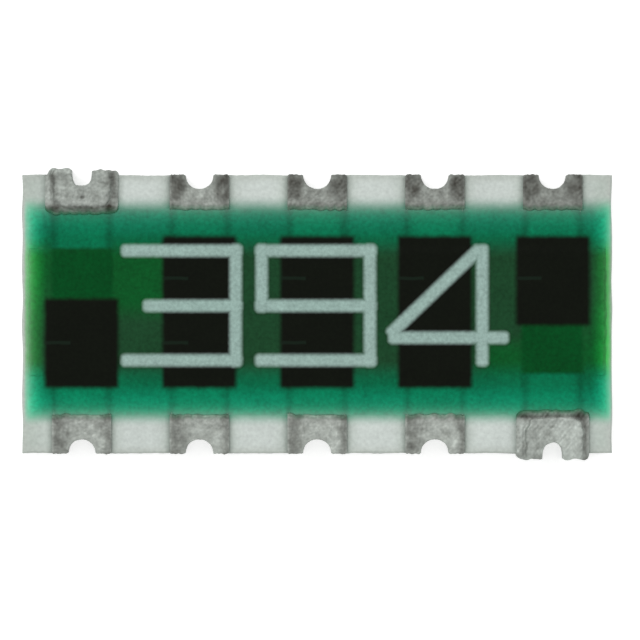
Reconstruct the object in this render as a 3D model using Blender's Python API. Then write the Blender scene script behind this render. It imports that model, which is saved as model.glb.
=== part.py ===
"""Ten-terminal thick-film chip resistor network.

An alumina chip carries printed films in the order in which they are made: fired silver
conductors that wrap round half-round castellations, resistor films with laser trim cuts, an
inner glass glaze, an overcoat, and then nickel and tin plated on the silver left bare.
Two diagonal terminals are the ends of the bus, and their plating has grown heavier.

Metres, +Z up. The chip lies flat on its ten lands, with the origin on the underside below its
centre and +X along its length.
"""

import math
from collections import namedtuple

import bmesh
import bpy
from mathutils import Matrix

# Driving dimensions, in metres.
PITCH = 0.00127                  # between neighbouring terminals along a long edge
END_MARGIN = 0.00064             # from the last terminal's centre to the end of the chip
CHIP_WIDTH = 0.00300             # ceramic, across the two rows of terminals
CERAMIC_THICKNESS = 0.00044
SNAP_CHAMFER = 0.00002           # score line's flank left along every snapped edge
HOLE_RADIUS = 0.00017            # half-round castellation, centred on the long edge

FILM_CLEARANCE = 0.000002        # between one film and what it lies on
SILVER = 0.000010
NICKEL = 0.000006
TIN = 0.000010
RESISTOR_INK = 0.000014
GLAZE = 0.000010
OVERCOAT = 0.000016

PRINT_SHIFT = 0.000023           # the printed films sit this far towards +Y on the ceramic
PAD_WIDTH = 0.00060              # silver pads and the tracks to the bus
BUS_WIDTH = 0.000275
RESISTOR_WIDTH = 0.000782
RESISTOR_LENGTH = 0.001624       # a long film, with a resistor on each side of the bus
PAD_OVERLAP = 0.00015            # resistor over silver at a film's outer end
LAND_LENGTH = 0.00045            # silver on the underside, in from the long edge

TRIM_DISTANCE = 0.000348         # trim cuts from their own centre line
TRIM_SHIFT = 0.0000425           # that centre line from the chip's centre
TRIM_LENGTH = 0.00027            # into the film from its left edge
TRIM_RUN_IN = 0.00003            # the cut starts this far outside the film
TRIM_WIDTH = 0.000035

GLAZE_LAP = 0.000018             # glaze past the silver pads' inner ends
GLAZE_END_MARGIN = 0.00009       # from the glaze to the ends of the chip
PLATED_LENGTH = 0.0003825        # bare silver between the long edge and the overcoat
COAT_END_MARGIN = 0.00006        # from the overcoat to the ends of the chip
COAT_TAPER = 0.00004             # width of the coats' sloping edges

HEAVY_TOP = 0.000056             # tin over the pad of a heavy terminal
HEAVY_SIDE = 0.000085            # tin beside the pad
HEAVY_EAR = 0.000061             # tin past the snapped edge
HEAVY_NOTCH = 0.0000465          # tin inside the castellation
HEAVY_LIP = 0.000065             # tin that has crept over the overcoat's edge
HEAVY_LIP_THICKNESS = 0.000012
HEAVY_DROP = 0.000060            # ears hang this far down the snapped edge
HEAVY_SETBACK = 0.000018         # raised face back from the overcoat's edge
HEAVY_CORNER = 0.000065          # raised face's corner radius in plan
EAR_CORNER = 0.000035
HEAVY_ROUND = 0.000014           # round along the heavy tin's upper edges

TERMINALS_PER_ROW = 5
CIRCLE_STEPS = 24
CORNER_STEPS = 3
CUT_MARGIN = 0.00010             # how far a cutter reaches past what it cuts

# Places that follow from the sizes above.
ROW_SPAN = (TERMINALS_PER_ROW - 1) * PITCH
CHIP_LENGTH = ROW_SPAN + 2 * END_MARGIN
HALF_LENGTH = CHIP_LENGTH / 2
HALF_WIDTH = CHIP_WIDTH / 2
PAD_HALF = PAD_WIDTH / 2
CERAMIC_BOTTOM = SILVER + NICKEL + TIN + 3 * FILM_CLEARANCE
CERAMIC_TOP = CERAMIC_BOTTOM + CERAMIC_THICKNESS
FILM_FLOOR = CERAMIC_TOP + FILM_CLEARANCE
SILVER_TOP = FILM_FLOOR + SILVER
RESISTOR_TOP = SILVER_TOP + FILM_CLEARANCE + RESISTOR_INK
GLAZE_TOP = RESISTOR_TOP + FILM_CLEARANCE + GLAZE
COAT_TOP = RESISTOR_TOP + FILM_CLEARANCE + OVERCOAT
COAT_CROWN = GLAZE_TOP + FILM_CLEARANCE + OVERCOAT
PAD_END = RESISTOR_LENGTH / 2 - PAD_OVERLAP
GLAZE_HALF = PAD_END + GLAZE_LAP
COAT_LOW = -HALF_WIDTH + PLATED_LENGTH + PRINT_SHIFT
COAT_HIGH = HALF_WIDTH - PLATED_LENGTH + PRINT_SHIFT
BUS_LOW = PRINT_SHIFT - BUS_WIDTH / 2
BUS_HIGH = PRINT_SHIFT + BUS_WIDTH / 2
RESISTOR_LOW = PRINT_SHIFT - RESISTOR_LENGTH / 2
RESISTOR_HIGH = PRINT_SHIFT + RESISTOR_LENGTH / 2
COLUMN_X = [index * PITCH - ROW_SPAN / 2 for index in range(TERMINALS_PER_ROW)]

COLOURS = {
    "alumina": ((0.60, 0.65, 0.62), 0.55, 0.0),
    "fired_silver": ((0.62, 0.61, 0.57), 0.45, 1.0),
    "nickel": ((0.45, 0.43, 0.39), 0.35, 1.0),
    "tin": ((0.55, 0.57, 0.56), 0.40, 1.0),
    "resistor_ink": ((0.007, 0.009, 0.006), 0.50, 0.0),
    "green_glass": ((0.010, 0.080, 0.030), 0.20, 0.0),
    "green_overcoat": ((0.012, 0.190, 0.100), 0.30, 0.0),
}

# A film that wraps over the chip's edge at one castellation. Its own axes have y = 0 on the
# snapped edge, with +y outwards, and z as on the chip.
Wrap = namedtuple(
    "Wrap",
    [
        "half_width",    # across the pad
        "past_edge",     # outwards past the snapped edge
        "above",         # outer face above the ceramic
        "below",         # outer face below the ceramic
        "notch",         # radius of the half-round notch that stays open
        "web",           # half width of the metal round the notch, past the edge
        "drop",          # how far the pads' ends hang down the snapped edge
        "reach_top",     # inwards on the top
        "reach_bottom",  # inwards on the underside
    ],
)


def clear_scene():
    """Remove every object and leftover collection."""
    for thing in list(bpy.data.objects):
        bpy.data.objects.remove(thing, do_unlink=True)
    for group in list(bpy.data.collections):
        bpy.data.collections.remove(group)


def make_collection(name):
    """Add a collection to the scene."""
    group = bpy.data.collections.new(name)
    bpy.context.scene.collection.children.link(group)
    return group


def make_material(name):
    """Principled material from the colour table."""
    colour, roughness, metallic = COLOURS[name]
    material = bpy.data.materials.new(name)
    material.use_nodes = True
    shader = material.node_tree.nodes["Principled BSDF"]
    shader.inputs["Base Color"].default_value = (*colour, 1.0)
    shader.inputs["Roughness"].default_value = roughness
    shader.inputs["Metallic"].default_value = metallic
    material.diffuse_color = (*colour, 1.0)
    return material


def link_mesh(mesh, name, group):
    """Put a mesh into the scene as an object."""
    thing = bpy.data.objects.new(name, mesh)
    group.objects.link(thing)
    return thing


def from_bmesh(shape, name, group):
    """Turn a bmesh into an object and free it."""
    mesh = bpy.data.meshes.new(name)
    shape.to_mesh(mesh)
    shape.free()
    return link_mesh(mesh, name, group)


def cube_shape(x_range, y_range, z_range):
    """Cube primitive stretched between three pairs of limits."""
    shape = bmesh.new()
    bmesh.ops.create_cube(shape, size=1.0)
    spans = [high - low for low, high in (x_range, y_range, z_range)]
    middles = [(high + low) / 2 for low, high in (x_range, y_range, z_range)]
    bmesh.ops.transform(
        shape,
        matrix=Matrix.Translation(middles) @ Matrix.Diagonal((*spans, 1.0)),
        verts=shape.verts,
    )
    return shape


def box(group, x_range, y_range, z_range):
    """Plain box object."""
    return from_bmesh(cube_shape(x_range, y_range, z_range), "box", group)


def bevel_edges(shape, wanted, width, steps):
    """Bevel the edges whose middle and direction pass the test."""
    chosen = []
    for edge in shape.edges:
        middle = (edge.verts[0].co + edge.verts[1].co) / 2
        along = (edge.verts[1].co - edge.verts[0].co).normalized()
        if wanted(middle, along):
            chosen.append(edge)
    bmesh.ops.bevel(
        shape,
        geom=chosen,
        offset=width,
        segments=steps,
        profile=0.5,
        affect="EDGES",
        clamp_overlap=True,
    )


def tapered_slab(group, x_range, y_range, z_range, taper):
    """Slab whose four sides lean inwards towards the top, like the edge of a printed film."""
    shape = cube_shape(x_range, y_range, z_range)
    middle_x = sum(x_range) / 2
    middle_y = sum(y_range) / 2
    middle_z = sum(z_range) / 2
    for vertex in shape.verts:
        if vertex.co.z > middle_z:
            vertex.co.x -= math.copysign(taper, vertex.co.x - middle_x)
            vertex.co.y -= math.copysign(taper, vertex.co.y - middle_y)
    return from_bmesh(shape, "slab", group)


def cylinder(group, radius, z_range):
    """Upright cylinder on the z axis."""
    shape = bmesh.new()
    low, high = z_range
    bmesh.ops.create_cone(
        shape,
        cap_ends=True,
        segments=CIRCLE_STEPS,
        radius1=radius,
        radius2=radius,
        depth=high - low,
        matrix=Matrix.Translation((0.0, 0.0, (high + low) / 2)),
    )
    return from_bmesh(shape, "cylinder", group)


def combine(target, tool, operation):
    """Apply one exact Boolean to target and remove the tool."""
    modifier = target.modifiers.new(operation.title(), "BOOLEAN")
    modifier.operation = operation
    modifier.solver = "EXACT"
    modifier.object = tool
    graph = bpy.context.evaluated_depsgraph_get()
    result = bpy.data.meshes.new_from_object(target.evaluated_get(graph))
    target.modifiers.remove(modifier)
    spent = target.data
    target.data = result
    bpy.data.meshes.remove(spent)
    spent = tool.data
    bpy.data.objects.remove(tool, do_unlink=True)
    bpy.data.meshes.remove(spent)
    return target


def cut(target, tool):
    """Take the tool's shape out of target."""
    return combine(target, tool, "DIFFERENCE")


def join(target, tool):
    """Add the tool's shape to target."""
    return combine(target, tool, "UNION")


def finish(thing, name, material, group, cutters):
    """Name a finished sub-part, give it its material and move it to the part's collection."""
    thing.name = name
    thing.data.name = name
    thing.data.materials.clear()
    thing.data.materials.append(material)
    thing.data.polygons.foreach_set("use_smooth", [False] * len(thing.data.polygons))
    if thing.name in cutters.objects:
        cutters.objects.unlink(thing)
        group.objects.link(thing)
    return thing


def grow(wrap, by):
    """The same wrap-around shape, larger by one thickness on every side."""
    return Wrap(
        half_width=wrap.half_width + by,
        past_edge=wrap.past_edge + by,
        above=wrap.above + by,
        below=wrap.below + by,
        notch=wrap.notch - by,
        web=wrap.web + by,
        drop=wrap.drop + by,
        reach_top=wrap.reach_top + by,
        reach_bottom=wrap.reach_bottom + by,
    )


def edge_bevel(past_edge, depth):
    """Bevel leg that keeps a film's sloping face parallel to the ceramic's chamfer."""
    return SNAP_CHAMFER + past_edge - (math.sqrt(2) - 1) * depth


def outboard_edge(y_end, upper):
    """Test for the long edge at a block's outer end, the upper or the lower one."""
    def wanted(middle, along):
        at_end = abs(middle.y - y_end) < FILM_CLEARANCE / 4
        right_half = (middle.z > (CERAMIC_TOP + CERAMIC_BOTTOM) / 2) == upper
        return at_end and right_half and abs(along.x) > 0.9
    return wanted


def edge_block(cutters, half_width, reach, past_edge, above, below):
    """Block over the chip's edge whose end slopes with the ceramic's two chamfers."""
    shape = cube_shape(
        (-half_width, half_width),
        (-reach, past_edge),
        (CERAMIC_BOTTOM - below, CERAMIC_TOP + above),
    )
    bevel_edges(shape, outboard_edge(past_edge, True), edge_bevel(past_edge, above), 1)
    bevel_edges(shape, outboard_edge(past_edge, False), edge_bevel(past_edge, below), 1)
    return from_bmesh(shape, "edge_block", cutters)


def open_notch(cutters, block, radius, past_edge):
    """Cut the half-round notch, with straight sides outwards from the snapped edge."""
    tall = (CERAMIC_BOTTOM - 2 * CUT_MARGIN, CERAMIC_TOP + 2 * CUT_MARGIN)
    cut(block, cylinder(cutters, radius, tall))
    if past_edge > 0:
        cut(block, box(cutters, (-radius, radius), (0.0, past_edge + CUT_MARGIN), tall))
    return block


def bare_flanks(cutters, block, wrap):
    """Free the snapped ceramic on both sides of the notch between the two pads' ends."""
    heights = (CERAMIC_BOTTOM + wrap.drop, CERAMIC_TOP - wrap.drop)
    outwards = (0.0, wrap.past_edge + CUT_MARGIN)
    far = wrap.half_width + CUT_MARGIN
    cut(block, box(cutters, (wrap.web, far), outwards, heights))
    cut(block, box(cutters, (-far, -wrap.web), outwards, heights))
    return block


def wrap_solid(cutters, wrap):
    """The room that a wrap-around film takes up, the ceramic inside it included."""
    reach = max(wrap.reach_top, wrap.reach_bottom)
    block = edge_block(cutters, wrap.half_width, reach, wrap.past_edge, wrap.above, wrap.below)
    middle = (CERAMIC_BOTTOM + CERAMIC_TOP) / 2
    across = (-wrap.half_width - CUT_MARGIN, wrap.half_width + CUT_MARGIN)
    if wrap.reach_top > wrap.reach_bottom:
        surplus = (CERAMIC_BOTTOM - wrap.below - CUT_MARGIN, middle)
        keep = wrap.reach_bottom
    else:
        surplus = (middle, CERAMIC_TOP + wrap.above + CUT_MARGIN)
        keep = wrap.reach_top
    if reach > keep:
        cut(block, box(cutters, across, (-reach - CUT_MARGIN, -keep), surplus))
    if wrap.past_edge > 0:
        bare_flanks(cutters, block, wrap)
    return open_notch(cutters, block, wrap.notch, wrap.past_edge)


def ceramic_room(cutters, half_width, reach):
    """The ceramic near one castellation, with the film clearance all round it."""
    block = edge_block(
        cutters, half_width + CUT_MARGIN, reach + CUT_MARGIN,
        FILM_CLEARANCE, FILM_CLEARANCE, FILM_CLEARANCE,
    )
    return open_notch(cutters, block, HOLE_RADIUS - FILM_CLEARANCE, 0.0)


def silver_wrap(reach_top):
    """Fired silver, flush with the snapped edge."""
    return Wrap(
        half_width=PAD_HALF,
        past_edge=0.0,
        above=FILM_CLEARANCE + SILVER,
        below=FILM_CLEARANCE + SILVER,
        notch=HOLE_RADIUS - FILM_CLEARANCE - SILVER,
        web=HOLE_RADIUS - FILM_CLEARANCE,
        drop=SNAP_CHAMFER,
        reach_top=reach_top,
        reach_bottom=LAND_LENGTH,
    )


def plated_reach(coat_edge):
    """Plating on the top ends just short of the overcoat."""
    return coat_edge - FILM_CLEARANCE


def nickel_wrap(coat_edge):
    """Nickel over all the silver that the overcoat leaves bare."""
    under = grow(silver_wrap(PAD_WIDTH), FILM_CLEARANCE + NICKEL)
    return under._replace(reach_top=plated_reach(coat_edge))


def tin_wrap(coat_edge):
    """Tin over the nickel."""
    over = grow(nickel_wrap(coat_edge), FILM_CLEARANCE + TIN)
    return over._replace(reach_top=plated_reach(coat_edge))


def film_shell(cutters, solid, wrap, under):
    """Hollow a wrap-around solid so that it clears the ceramic and the film under it."""
    reach = max(wrap.reach_top, wrap.reach_bottom)
    cut(solid, ceramic_room(cutters, wrap.half_width, reach))
    if under is not None:
        cut(solid, wrap_solid(cutters, grow(under, FILM_CLEARANCE)))
    return solid


def silver_shape(cutters, reach_top):
    """Pad, notch lining and underside land in one film."""
    wrap = silver_wrap(reach_top)
    return film_shell(cutters, wrap_solid(cutters, wrap), wrap, None)


def nickel_shape(cutters, coat_edge, pad_reach):
    """Nickel barrier at one castellation."""
    wrap = nickel_wrap(coat_edge)
    return film_shell(cutters, wrap_solid(cutters, wrap), wrap, silver_wrap(pad_reach))


def tin_shape(cutters, coat_edge):
    """Tin terminal at one castellation."""
    wrap = tin_wrap(coat_edge)
    return film_shell(cutters, wrap_solid(cutters, wrap), wrap, nickel_wrap(coat_edge))


def raised_face(cutters, coat_edge):
    """Raised face of a heavy terminal, rounded in plan and along its upper edge."""
    nickel = nickel_wrap(coat_edge)
    top = CERAMIC_TOP + nickel.above + FILM_CLEARANCE + HEAVY_TOP
    shape = cube_shape(
        (-nickel.half_width, nickel.half_width),
        (-coat_edge + HEAVY_SETBACK, HEAVY_EAR / 2),
        (CERAMIC_TOP - SNAP_CHAMFER, top),
    )
    bevel_edges(shape, lambda middle, along: abs(along.z) > 0.9, HEAVY_CORNER, CORNER_STEPS + 1)
    bevel_edges(
        shape,
        lambda middle, along: middle.z > top - FILM_CLEARANCE / 4 and abs(along.z) < 0.1,
        HEAVY_ROUND,
        CORNER_STEPS,
    )
    return from_bmesh(shape, "raised_face", cutters)


def heavy_tin_shape(cutters, coat_edge):
    """Heavily plated terminal: ears past the edge, a narrow notch and a lip over the overcoat."""
    nickel = nickel_wrap(coat_edge)
    lip_top = COAT_TOP + FILM_CLEARANCE + HEAVY_LIP_THICKNESS
    wrap = Wrap(
        half_width=nickel.half_width + HEAVY_SIDE,
        past_edge=nickel.past_edge + FILM_CLEARANCE + HEAVY_EAR,
        above=lip_top - CERAMIC_TOP,
        below=nickel.below + FILM_CLEARANCE + TIN,
        notch=nickel.notch - FILM_CLEARANCE - HEAVY_NOTCH,
        web=nickel.web + FILM_CLEARANCE + HEAVY_NOTCH,
        drop=HEAVY_DROP,
        reach_top=coat_edge + HEAVY_LIP,
        reach_bottom=nickel.reach_bottom + FILM_CLEARANCE + TIN,
    )
    reach = max(wrap.reach_top, wrap.reach_bottom)
    shape = cube_shape(
        (-wrap.half_width, wrap.half_width),
        (-reach, wrap.past_edge),
        (CERAMIC_BOTTOM - wrap.below, lip_top),
    )
    bevel_edges(shape, lambda middle, along: abs(along.z) > 0.9, EAR_CORNER, CORNER_STEPS)
    bevel_edges(
        shape,
        lambda middle, along: middle.z > lip_top - FILM_CLEARANCE / 4 and abs(along.z) < 0.1,
        HEAVY_ROUND,
        CORNER_STEPS,
    )
    solid = from_bmesh(shape, "heavy_tin", cutters)
    join(solid, raised_face(cutters, coat_edge))
    middle = (CERAMIC_BOTTOM + CERAMIC_TOP) / 2
    across = (-wrap.half_width - CUT_MARGIN, wrap.half_width + CUT_MARGIN)
    below = (CERAMIC_BOTTOM - wrap.below - CUT_MARGIN, middle)
    above = (middle, CERAMIC_TOP + wrap.above + CUT_MARGIN)
    if reach > wrap.reach_bottom:
        cut(solid, box(cutters, across, (-reach - CUT_MARGIN, -wrap.reach_bottom), below))
    if reach > wrap.reach_top:
        cut(solid, box(cutters, across, (-reach - CUT_MARGIN, -wrap.reach_top), above))
    under_lip = (middle, COAT_TOP + FILM_CLEARANCE)
    cut(solid, box(cutters, across, (-reach - CUT_MARGIN, -plated_reach(coat_edge)), under_lip))
    bare_flanks(cutters, solid, wrap)
    open_notch(cutters, solid, wrap.notch, wrap.past_edge)
    return film_shell(cutters, solid, wrap, nickel)


def conductor_areas():
    """Outlines of all silver under the coats: eight pads, the two tracks and the bus."""
    areas = []
    pad_low = PRINT_SHIFT - PAD_END
    pad_high = PRINT_SHIFT + PAD_END
    for index, x in enumerate(COLUMN_X):
        sides = (x - PAD_HALF, x + PAD_HALF)
        low_end = BUS_HIGH if index == TERMINALS_PER_ROW - 1 else pad_low
        high_end = BUS_LOW if index == 0 else pad_high
        areas.append((*sides, -HALF_WIDTH, low_end))
        areas.append((*sides, high_end, HALF_WIDTH))
    areas.append((COLUMN_X[0] - PAD_HALF, COLUMN_X[-1] + PAD_HALF, BUS_LOW, BUS_HIGH))
    return areas


def clear_conductors(cutters, target):
    """Recess a film's underside over the silver."""
    for x_low, x_high, y_low, y_high in conductor_areas():
        room = box(
            cutters,
            (x_low - FILM_CLEARANCE, x_high + FILM_CLEARANCE),
            (y_low - FILM_CLEARANCE, y_high + FILM_CLEARANCE),
            (CERAMIC_BOTTOM, SILVER_TOP + FILM_CLEARANCE),
        )
        cut(target, room)
    return target


def resistor_steps(index):
    """A resistor film as boxes: its flat footprint, and where it climbs over the silver."""
    x_range = (COLUMN_X[index] - RESISTOR_WIDTH / 2, COLUMN_X[index] + RESISTOR_WIDTH / 2)
    low = BUS_LOW if index == TERMINALS_PER_ROW - 1 else RESISTOR_LOW
    high = BUS_HIGH if index == 0 else RESISTOR_HIGH
    steps = [(x_range, (low, high), FILM_FLOOR + RESISTOR_INK)]
    spread = FILM_CLEARANCE + RESISTOR_INK
    over_pad = (COLUMN_X[index] - PAD_HALF - spread, COLUMN_X[index] + PAD_HALF + spread)
    if index != TERMINALS_PER_ROW - 1:
        steps.append((over_pad, (low, PRINT_SHIFT - PAD_END + spread), RESISTOR_TOP))
    if index != 0:
        steps.append((over_pad, (PRINT_SHIFT + PAD_END - spread, high), RESISTOR_TOP))
    over_bus = (max(low, BUS_LOW - spread), min(high, BUS_HIGH + spread))
    steps.append((x_range, over_bus, RESISTOR_TOP))
    return steps


def trim_cuts(index):
    """Outlines of the laser cuts in one column's film."""
    left = COLUMN_X[index] - RESISTOR_WIDTH / 2
    x_range = (left - TRIM_RUN_IN, left + TRIM_LENGTH)
    centres = []
    if index != TERMINALS_PER_ROW - 1:
        centres.append(TRIM_SHIFT - TRIM_DISTANCE)
    if index != 0:
        centres.append(TRIM_SHIFT + TRIM_DISTANCE)
    return [(x_range, (y - TRIM_WIDTH / 2, y + TRIM_WIDTH / 2)) for y in centres]


def cut_trims(cutters, target):
    """Burn the laser cuts of every column through target."""
    for index in range(TERMINALS_PER_ROW):
        for x_range, y_range in trim_cuts(index):
            cut(target, box(cutters, x_range, y_range, (CERAMIC_TOP, GLAZE_TOP + CUT_MARGIN)))
    return target


def make_substrate(group, cutters, material):
    """Alumina chip with chamfered snapped edges and ten half-round castellations."""
    shape = cube_shape(
        (-HALF_LENGTH, HALF_LENGTH), (-HALF_WIDTH, HALF_WIDTH), (CERAMIC_BOTTOM, CERAMIC_TOP)
    )
    bevel_edges(shape, lambda middle, along: abs(along.z) < 0.1, SNAP_CHAMFER, 1)
    chip = from_bmesh(shape, "substrate", group)
    chip.data.materials.append(material)
    holes = make_collection("castellation_holes")
    for side in (-1, 1):
        for x in COLUMN_X:
            tall = (CERAMIC_BOTTOM - CUT_MARGIN, CERAMIC_TOP + CUT_MARGIN)
            hole = cylinder(holes, HOLE_RADIUS, tall)
            hole.name = "castellation_hole"
            hole.location = (x, side * HALF_WIDTH, 0.0)
            hole.hide_render = True
            hole.display_type = "WIRE"
    modifier = chip.modifiers.new("Castellations", "BOOLEAN")
    modifier.operation = "DIFFERENCE"
    modifier.operand_type = "COLLECTION"
    modifier.collection = holes
    modifier.solver = "EXACT"
    return chip


def terminal_place(number):
    """Centre, row direction and column of a terminal, numbered anticlockwise from lower left."""
    if number <= TERMINALS_PER_ROW:
        column = number - 1
        return COLUMN_X[column], -1, column
    column = 2 * TERMINALS_PER_ROW - number
    return COLUMN_X[column], 1, column


def place_film(mesh, name, number, material, group):
    """Put a wrap-around film's mesh at its castellation, facing outwards."""
    x, side, column = terminal_place(number)
    thing = link_mesh(mesh, name, group)
    thing.location = (x, side * HALF_WIDTH, 0.0)
    thing.rotation_euler.z = 0.0 if side > 0 else math.pi
    if not mesh.materials:
        mesh.materials.append(material)
    return thing


def take_mesh(thing):
    """Keep an object's mesh and drop the object."""
    mesh = thing.data
    bpy.data.objects.remove(thing, do_unlink=True)
    return mesh


def coat_edge_distance(side):
    """From the long edge to the overcoat's edge on one side of the chip."""
    return HALF_WIDTH - COAT_HIGH if side > 0 else COAT_LOW + HALF_WIDTH


def make_terminals(group, cutters, materials):
    """Silver, nickel and tin at all ten castellations; one mesh serves each like set."""
    meshes = {}
    heavy = (TERMINALS_PER_ROW, 2 * TERMINALS_PER_ROW)
    for side in (-1, 1):
        coat_edge = coat_edge_distance(side)
        pad_reach = HALF_WIDTH - side * PRINT_SHIFT - PAD_END
        meshes["silver", side] = take_mesh(silver_shape(cutters, pad_reach))
        meshes["nickel", side] = take_mesh(nickel_shape(cutters, coat_edge, pad_reach))
        meshes["tin", side] = take_mesh(tin_shape(cutters, coat_edge))
        meshes["heavy_tin", side] = take_mesh(heavy_tin_shape(cutters, coat_edge))
    for number in range(1, 2 * TERMINALS_PER_ROW + 1):
        side = terminal_place(number)[1]
        tin = "heavy_tin" if number in heavy else "tin"
        if number not in heavy:
            name = f"electrode_{number}"
            place_film(meshes["silver", side], name, number, materials["fired_silver"], group)
        name = f"nickel_barrier_{number}"
        place_film(meshes["nickel", side], name, number, materials["nickel"], group)
        name = f"terminal_{number}"
        place_film(meshes[tin, side], name, number, materials["tin"], group)


def make_common_conductor(group, cutters, material):
    """Bus bar, its two tracks and the wraps at the diagonal terminals, printed as one film."""
    bus = box(
        cutters,
        (COLUMN_X[0] - PAD_HALF, COLUMN_X[-1] + PAD_HALF),
        (BUS_LOW, BUS_HIGH),
        (FILM_FLOOR, SILVER_TOP),
    )
    for number in (TERMINALS_PER_ROW, 2 * TERMINALS_PER_ROW):
        x, side, column = terminal_place(number)
        far_side_of_bus = BUS_LOW if side > 0 else BUS_HIGH
        track = silver_shape(cutters, HALF_WIDTH - side * far_side_of_bus)
        turn = Matrix.Diagonal((side, side, 1.0, 1.0))
        track.data.transform(Matrix.Translation((x, side * HALF_WIDTH, 0.0)) @ turn)
        join(bus, track)
    return finish(bus, "common_conductor", material, group, cutters)


def make_resistor(index, group, cutters, material):
    """Resistor film over its pads and the bus, with its trim cuts."""
    steps = resistor_steps(index)
    x_range, y_range, top = steps[0]
    film = box(cutters, x_range, y_range, (FILM_FLOOR, top))
    for x_range, y_range, top in steps[1:]:
        join(film, box(cutters, x_range, y_range, (FILM_FLOOR, top)))
    clear_conductors(cutters, film)
    for x_range, y_range in trim_cuts(index):
        cut(film, box(cutters, x_range, y_range, (CERAMIC_TOP, RESISTOR_TOP + CUT_MARGIN)))
    return finish(film, f"resistor_film_{index + 1}", material, group, cutters)


def clear_resistors(cutters, target):
    """Recess a coat's underside over the resistor films."""
    for index in range(TERMINALS_PER_ROW):
        for x_range, y_range, top in resistor_steps(index):
            room = box(
                cutters,
                (x_range[0] - FILM_CLEARANCE, x_range[1] + FILM_CLEARANCE),
                (y_range[0] - FILM_CLEARANCE, y_range[1] + FILM_CLEARANCE),
                (CERAMIC_BOTTOM, top + FILM_CLEARANCE),
            )
            cut(target, room)
    return target


def glaze_slab(cutters, extra):
    """The glaze's outer form, larger by extra on its sides and top."""
    half = HALF_LENGTH - GLAZE_END_MARGIN + extra
    low = CERAMIC_BOTTOM if extra > 0 else FILM_FLOOR
    lean = COAT_TAPER * (GLAZE_TOP + extra - low) / (GLAZE_TOP - FILM_FLOOR)
    widen = lean - COAT_TAPER if extra > 0 else 0.0
    return tapered_slab(
        cutters,
        (-half - widen, half + widen),
        (PRINT_SHIFT - GLAZE_HALF - extra - widen, PRINT_SHIFT + GLAZE_HALF + extra + widen),
        (low, GLAZE_TOP + extra),
        lean,
    )


def make_glaze(group, cutters, material):
    """Inner glass over the resistors; the laser burned through it as well."""
    glaze = glaze_slab(cutters, 0.0)
    clear_conductors(cutters, glaze)
    clear_resistors(cutters, glaze)
    cut_trims(cutters, glaze)
    return finish(glaze, "glass_glaze", material, group, cutters)


def make_overcoat(group, cutters, material):
    """Protective coat with a crown over the glaze."""
    half = HALF_LENGTH - COAT_END_MARGIN
    coat = tapered_slab(
        cutters, (-half, half), (COAT_LOW, COAT_HIGH), (FILM_FLOOR, COAT_TOP), COAT_TAPER
    )
    crown_half = GLAZE_HALF + COAT_TAPER
    crown = tapered_slab(
        cutters,
        (-half + COAT_TAPER, half - COAT_TAPER),
        (PRINT_SHIFT - crown_half, PRINT_SHIFT + crown_half),
        (SILVER_TOP, COAT_CROWN),
        COAT_TAPER,
    )
    join(coat, crown)
    clear_conductors(cutters, coat)
    clear_resistors(cutters, coat)
    cut(coat, glaze_slab(cutters, FILM_CLEARANCE))
    return finish(coat, "overcoat", material, group, cutters)


def main():
    """Build every sub-part."""
    clear_scene()
    group = make_collection("chip_resistor_network")
    cutters = make_collection("cutters")
    materials = {name: make_material(name) for name in COLOURS}
    make_substrate(group, cutters, materials["alumina"])
    make_common_conductor(group, cutters, materials["fired_silver"])
    for index in range(TERMINALS_PER_ROW):
        make_resistor(index, group, cutters, materials["resistor_ink"])
    make_glaze(group, cutters, materials["green_glass"])
    make_overcoat(group, cutters, materials["green_overcoat"])
    make_terminals(group, cutters, materials)


main()
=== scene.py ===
"""Dressed model of a ten-terminal chip resistor network, laid out as a Blender add-on and run as a script."""

import bmesh
import bpy
import numpy as np
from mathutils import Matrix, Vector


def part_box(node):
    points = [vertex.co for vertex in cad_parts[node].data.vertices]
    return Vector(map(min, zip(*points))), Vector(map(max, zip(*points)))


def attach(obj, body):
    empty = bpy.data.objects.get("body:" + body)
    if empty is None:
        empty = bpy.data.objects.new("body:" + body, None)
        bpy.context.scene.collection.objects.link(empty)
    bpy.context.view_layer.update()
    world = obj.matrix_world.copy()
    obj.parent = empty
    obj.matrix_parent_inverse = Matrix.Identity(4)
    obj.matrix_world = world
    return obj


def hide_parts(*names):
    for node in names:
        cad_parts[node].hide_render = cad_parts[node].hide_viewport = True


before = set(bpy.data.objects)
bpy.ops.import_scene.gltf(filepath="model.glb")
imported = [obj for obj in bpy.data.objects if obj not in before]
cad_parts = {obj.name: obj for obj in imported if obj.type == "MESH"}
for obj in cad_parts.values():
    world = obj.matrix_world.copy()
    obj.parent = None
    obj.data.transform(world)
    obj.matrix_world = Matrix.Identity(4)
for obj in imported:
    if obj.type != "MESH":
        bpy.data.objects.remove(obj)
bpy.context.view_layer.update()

bl_info = {
    "name": "Chip resistor network",
    "version": (1, 0, 0),
    "blender": (4, 5, 0),
    "location": "3D View > Sidebar > Resistor network",
    "description": "Makes the ceramic, terminals, green coat and value code of a chip resistor network",
    "category": "Object",
}

PIECE_COLLECTION = "resistor_network"
CERAMIC_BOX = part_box("substrate")
COAT_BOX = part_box("overcoat")
GLAZE_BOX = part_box("glass_glaze")
PAD_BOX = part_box("electrode_8")
PLAIN_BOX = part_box("terminal_8")
HEAVY_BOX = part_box("terminal_10")
HEAVY_HALF = (HEAVY_BOX[1].x - HEAVY_BOX[0].x) / 2
RESISTOR_BOXES = [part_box(f"resistor_film_{number}") for number in range(1, 6)]
HEAVY_TERMINALS = (5, 10)
PITCH = 0.00127
WAVES = 24
TO_MILLIMETRES = 1000.0
ORIGIN = (0.0, 0.0, 0.0)

# Metres: the gap between two films, the slope over a film's edge, and the silver's notch
FILM_GAP = 0.000002
FILM_SLOPE = 0.000008
SILVER_NOTCH = 0.000157

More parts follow.
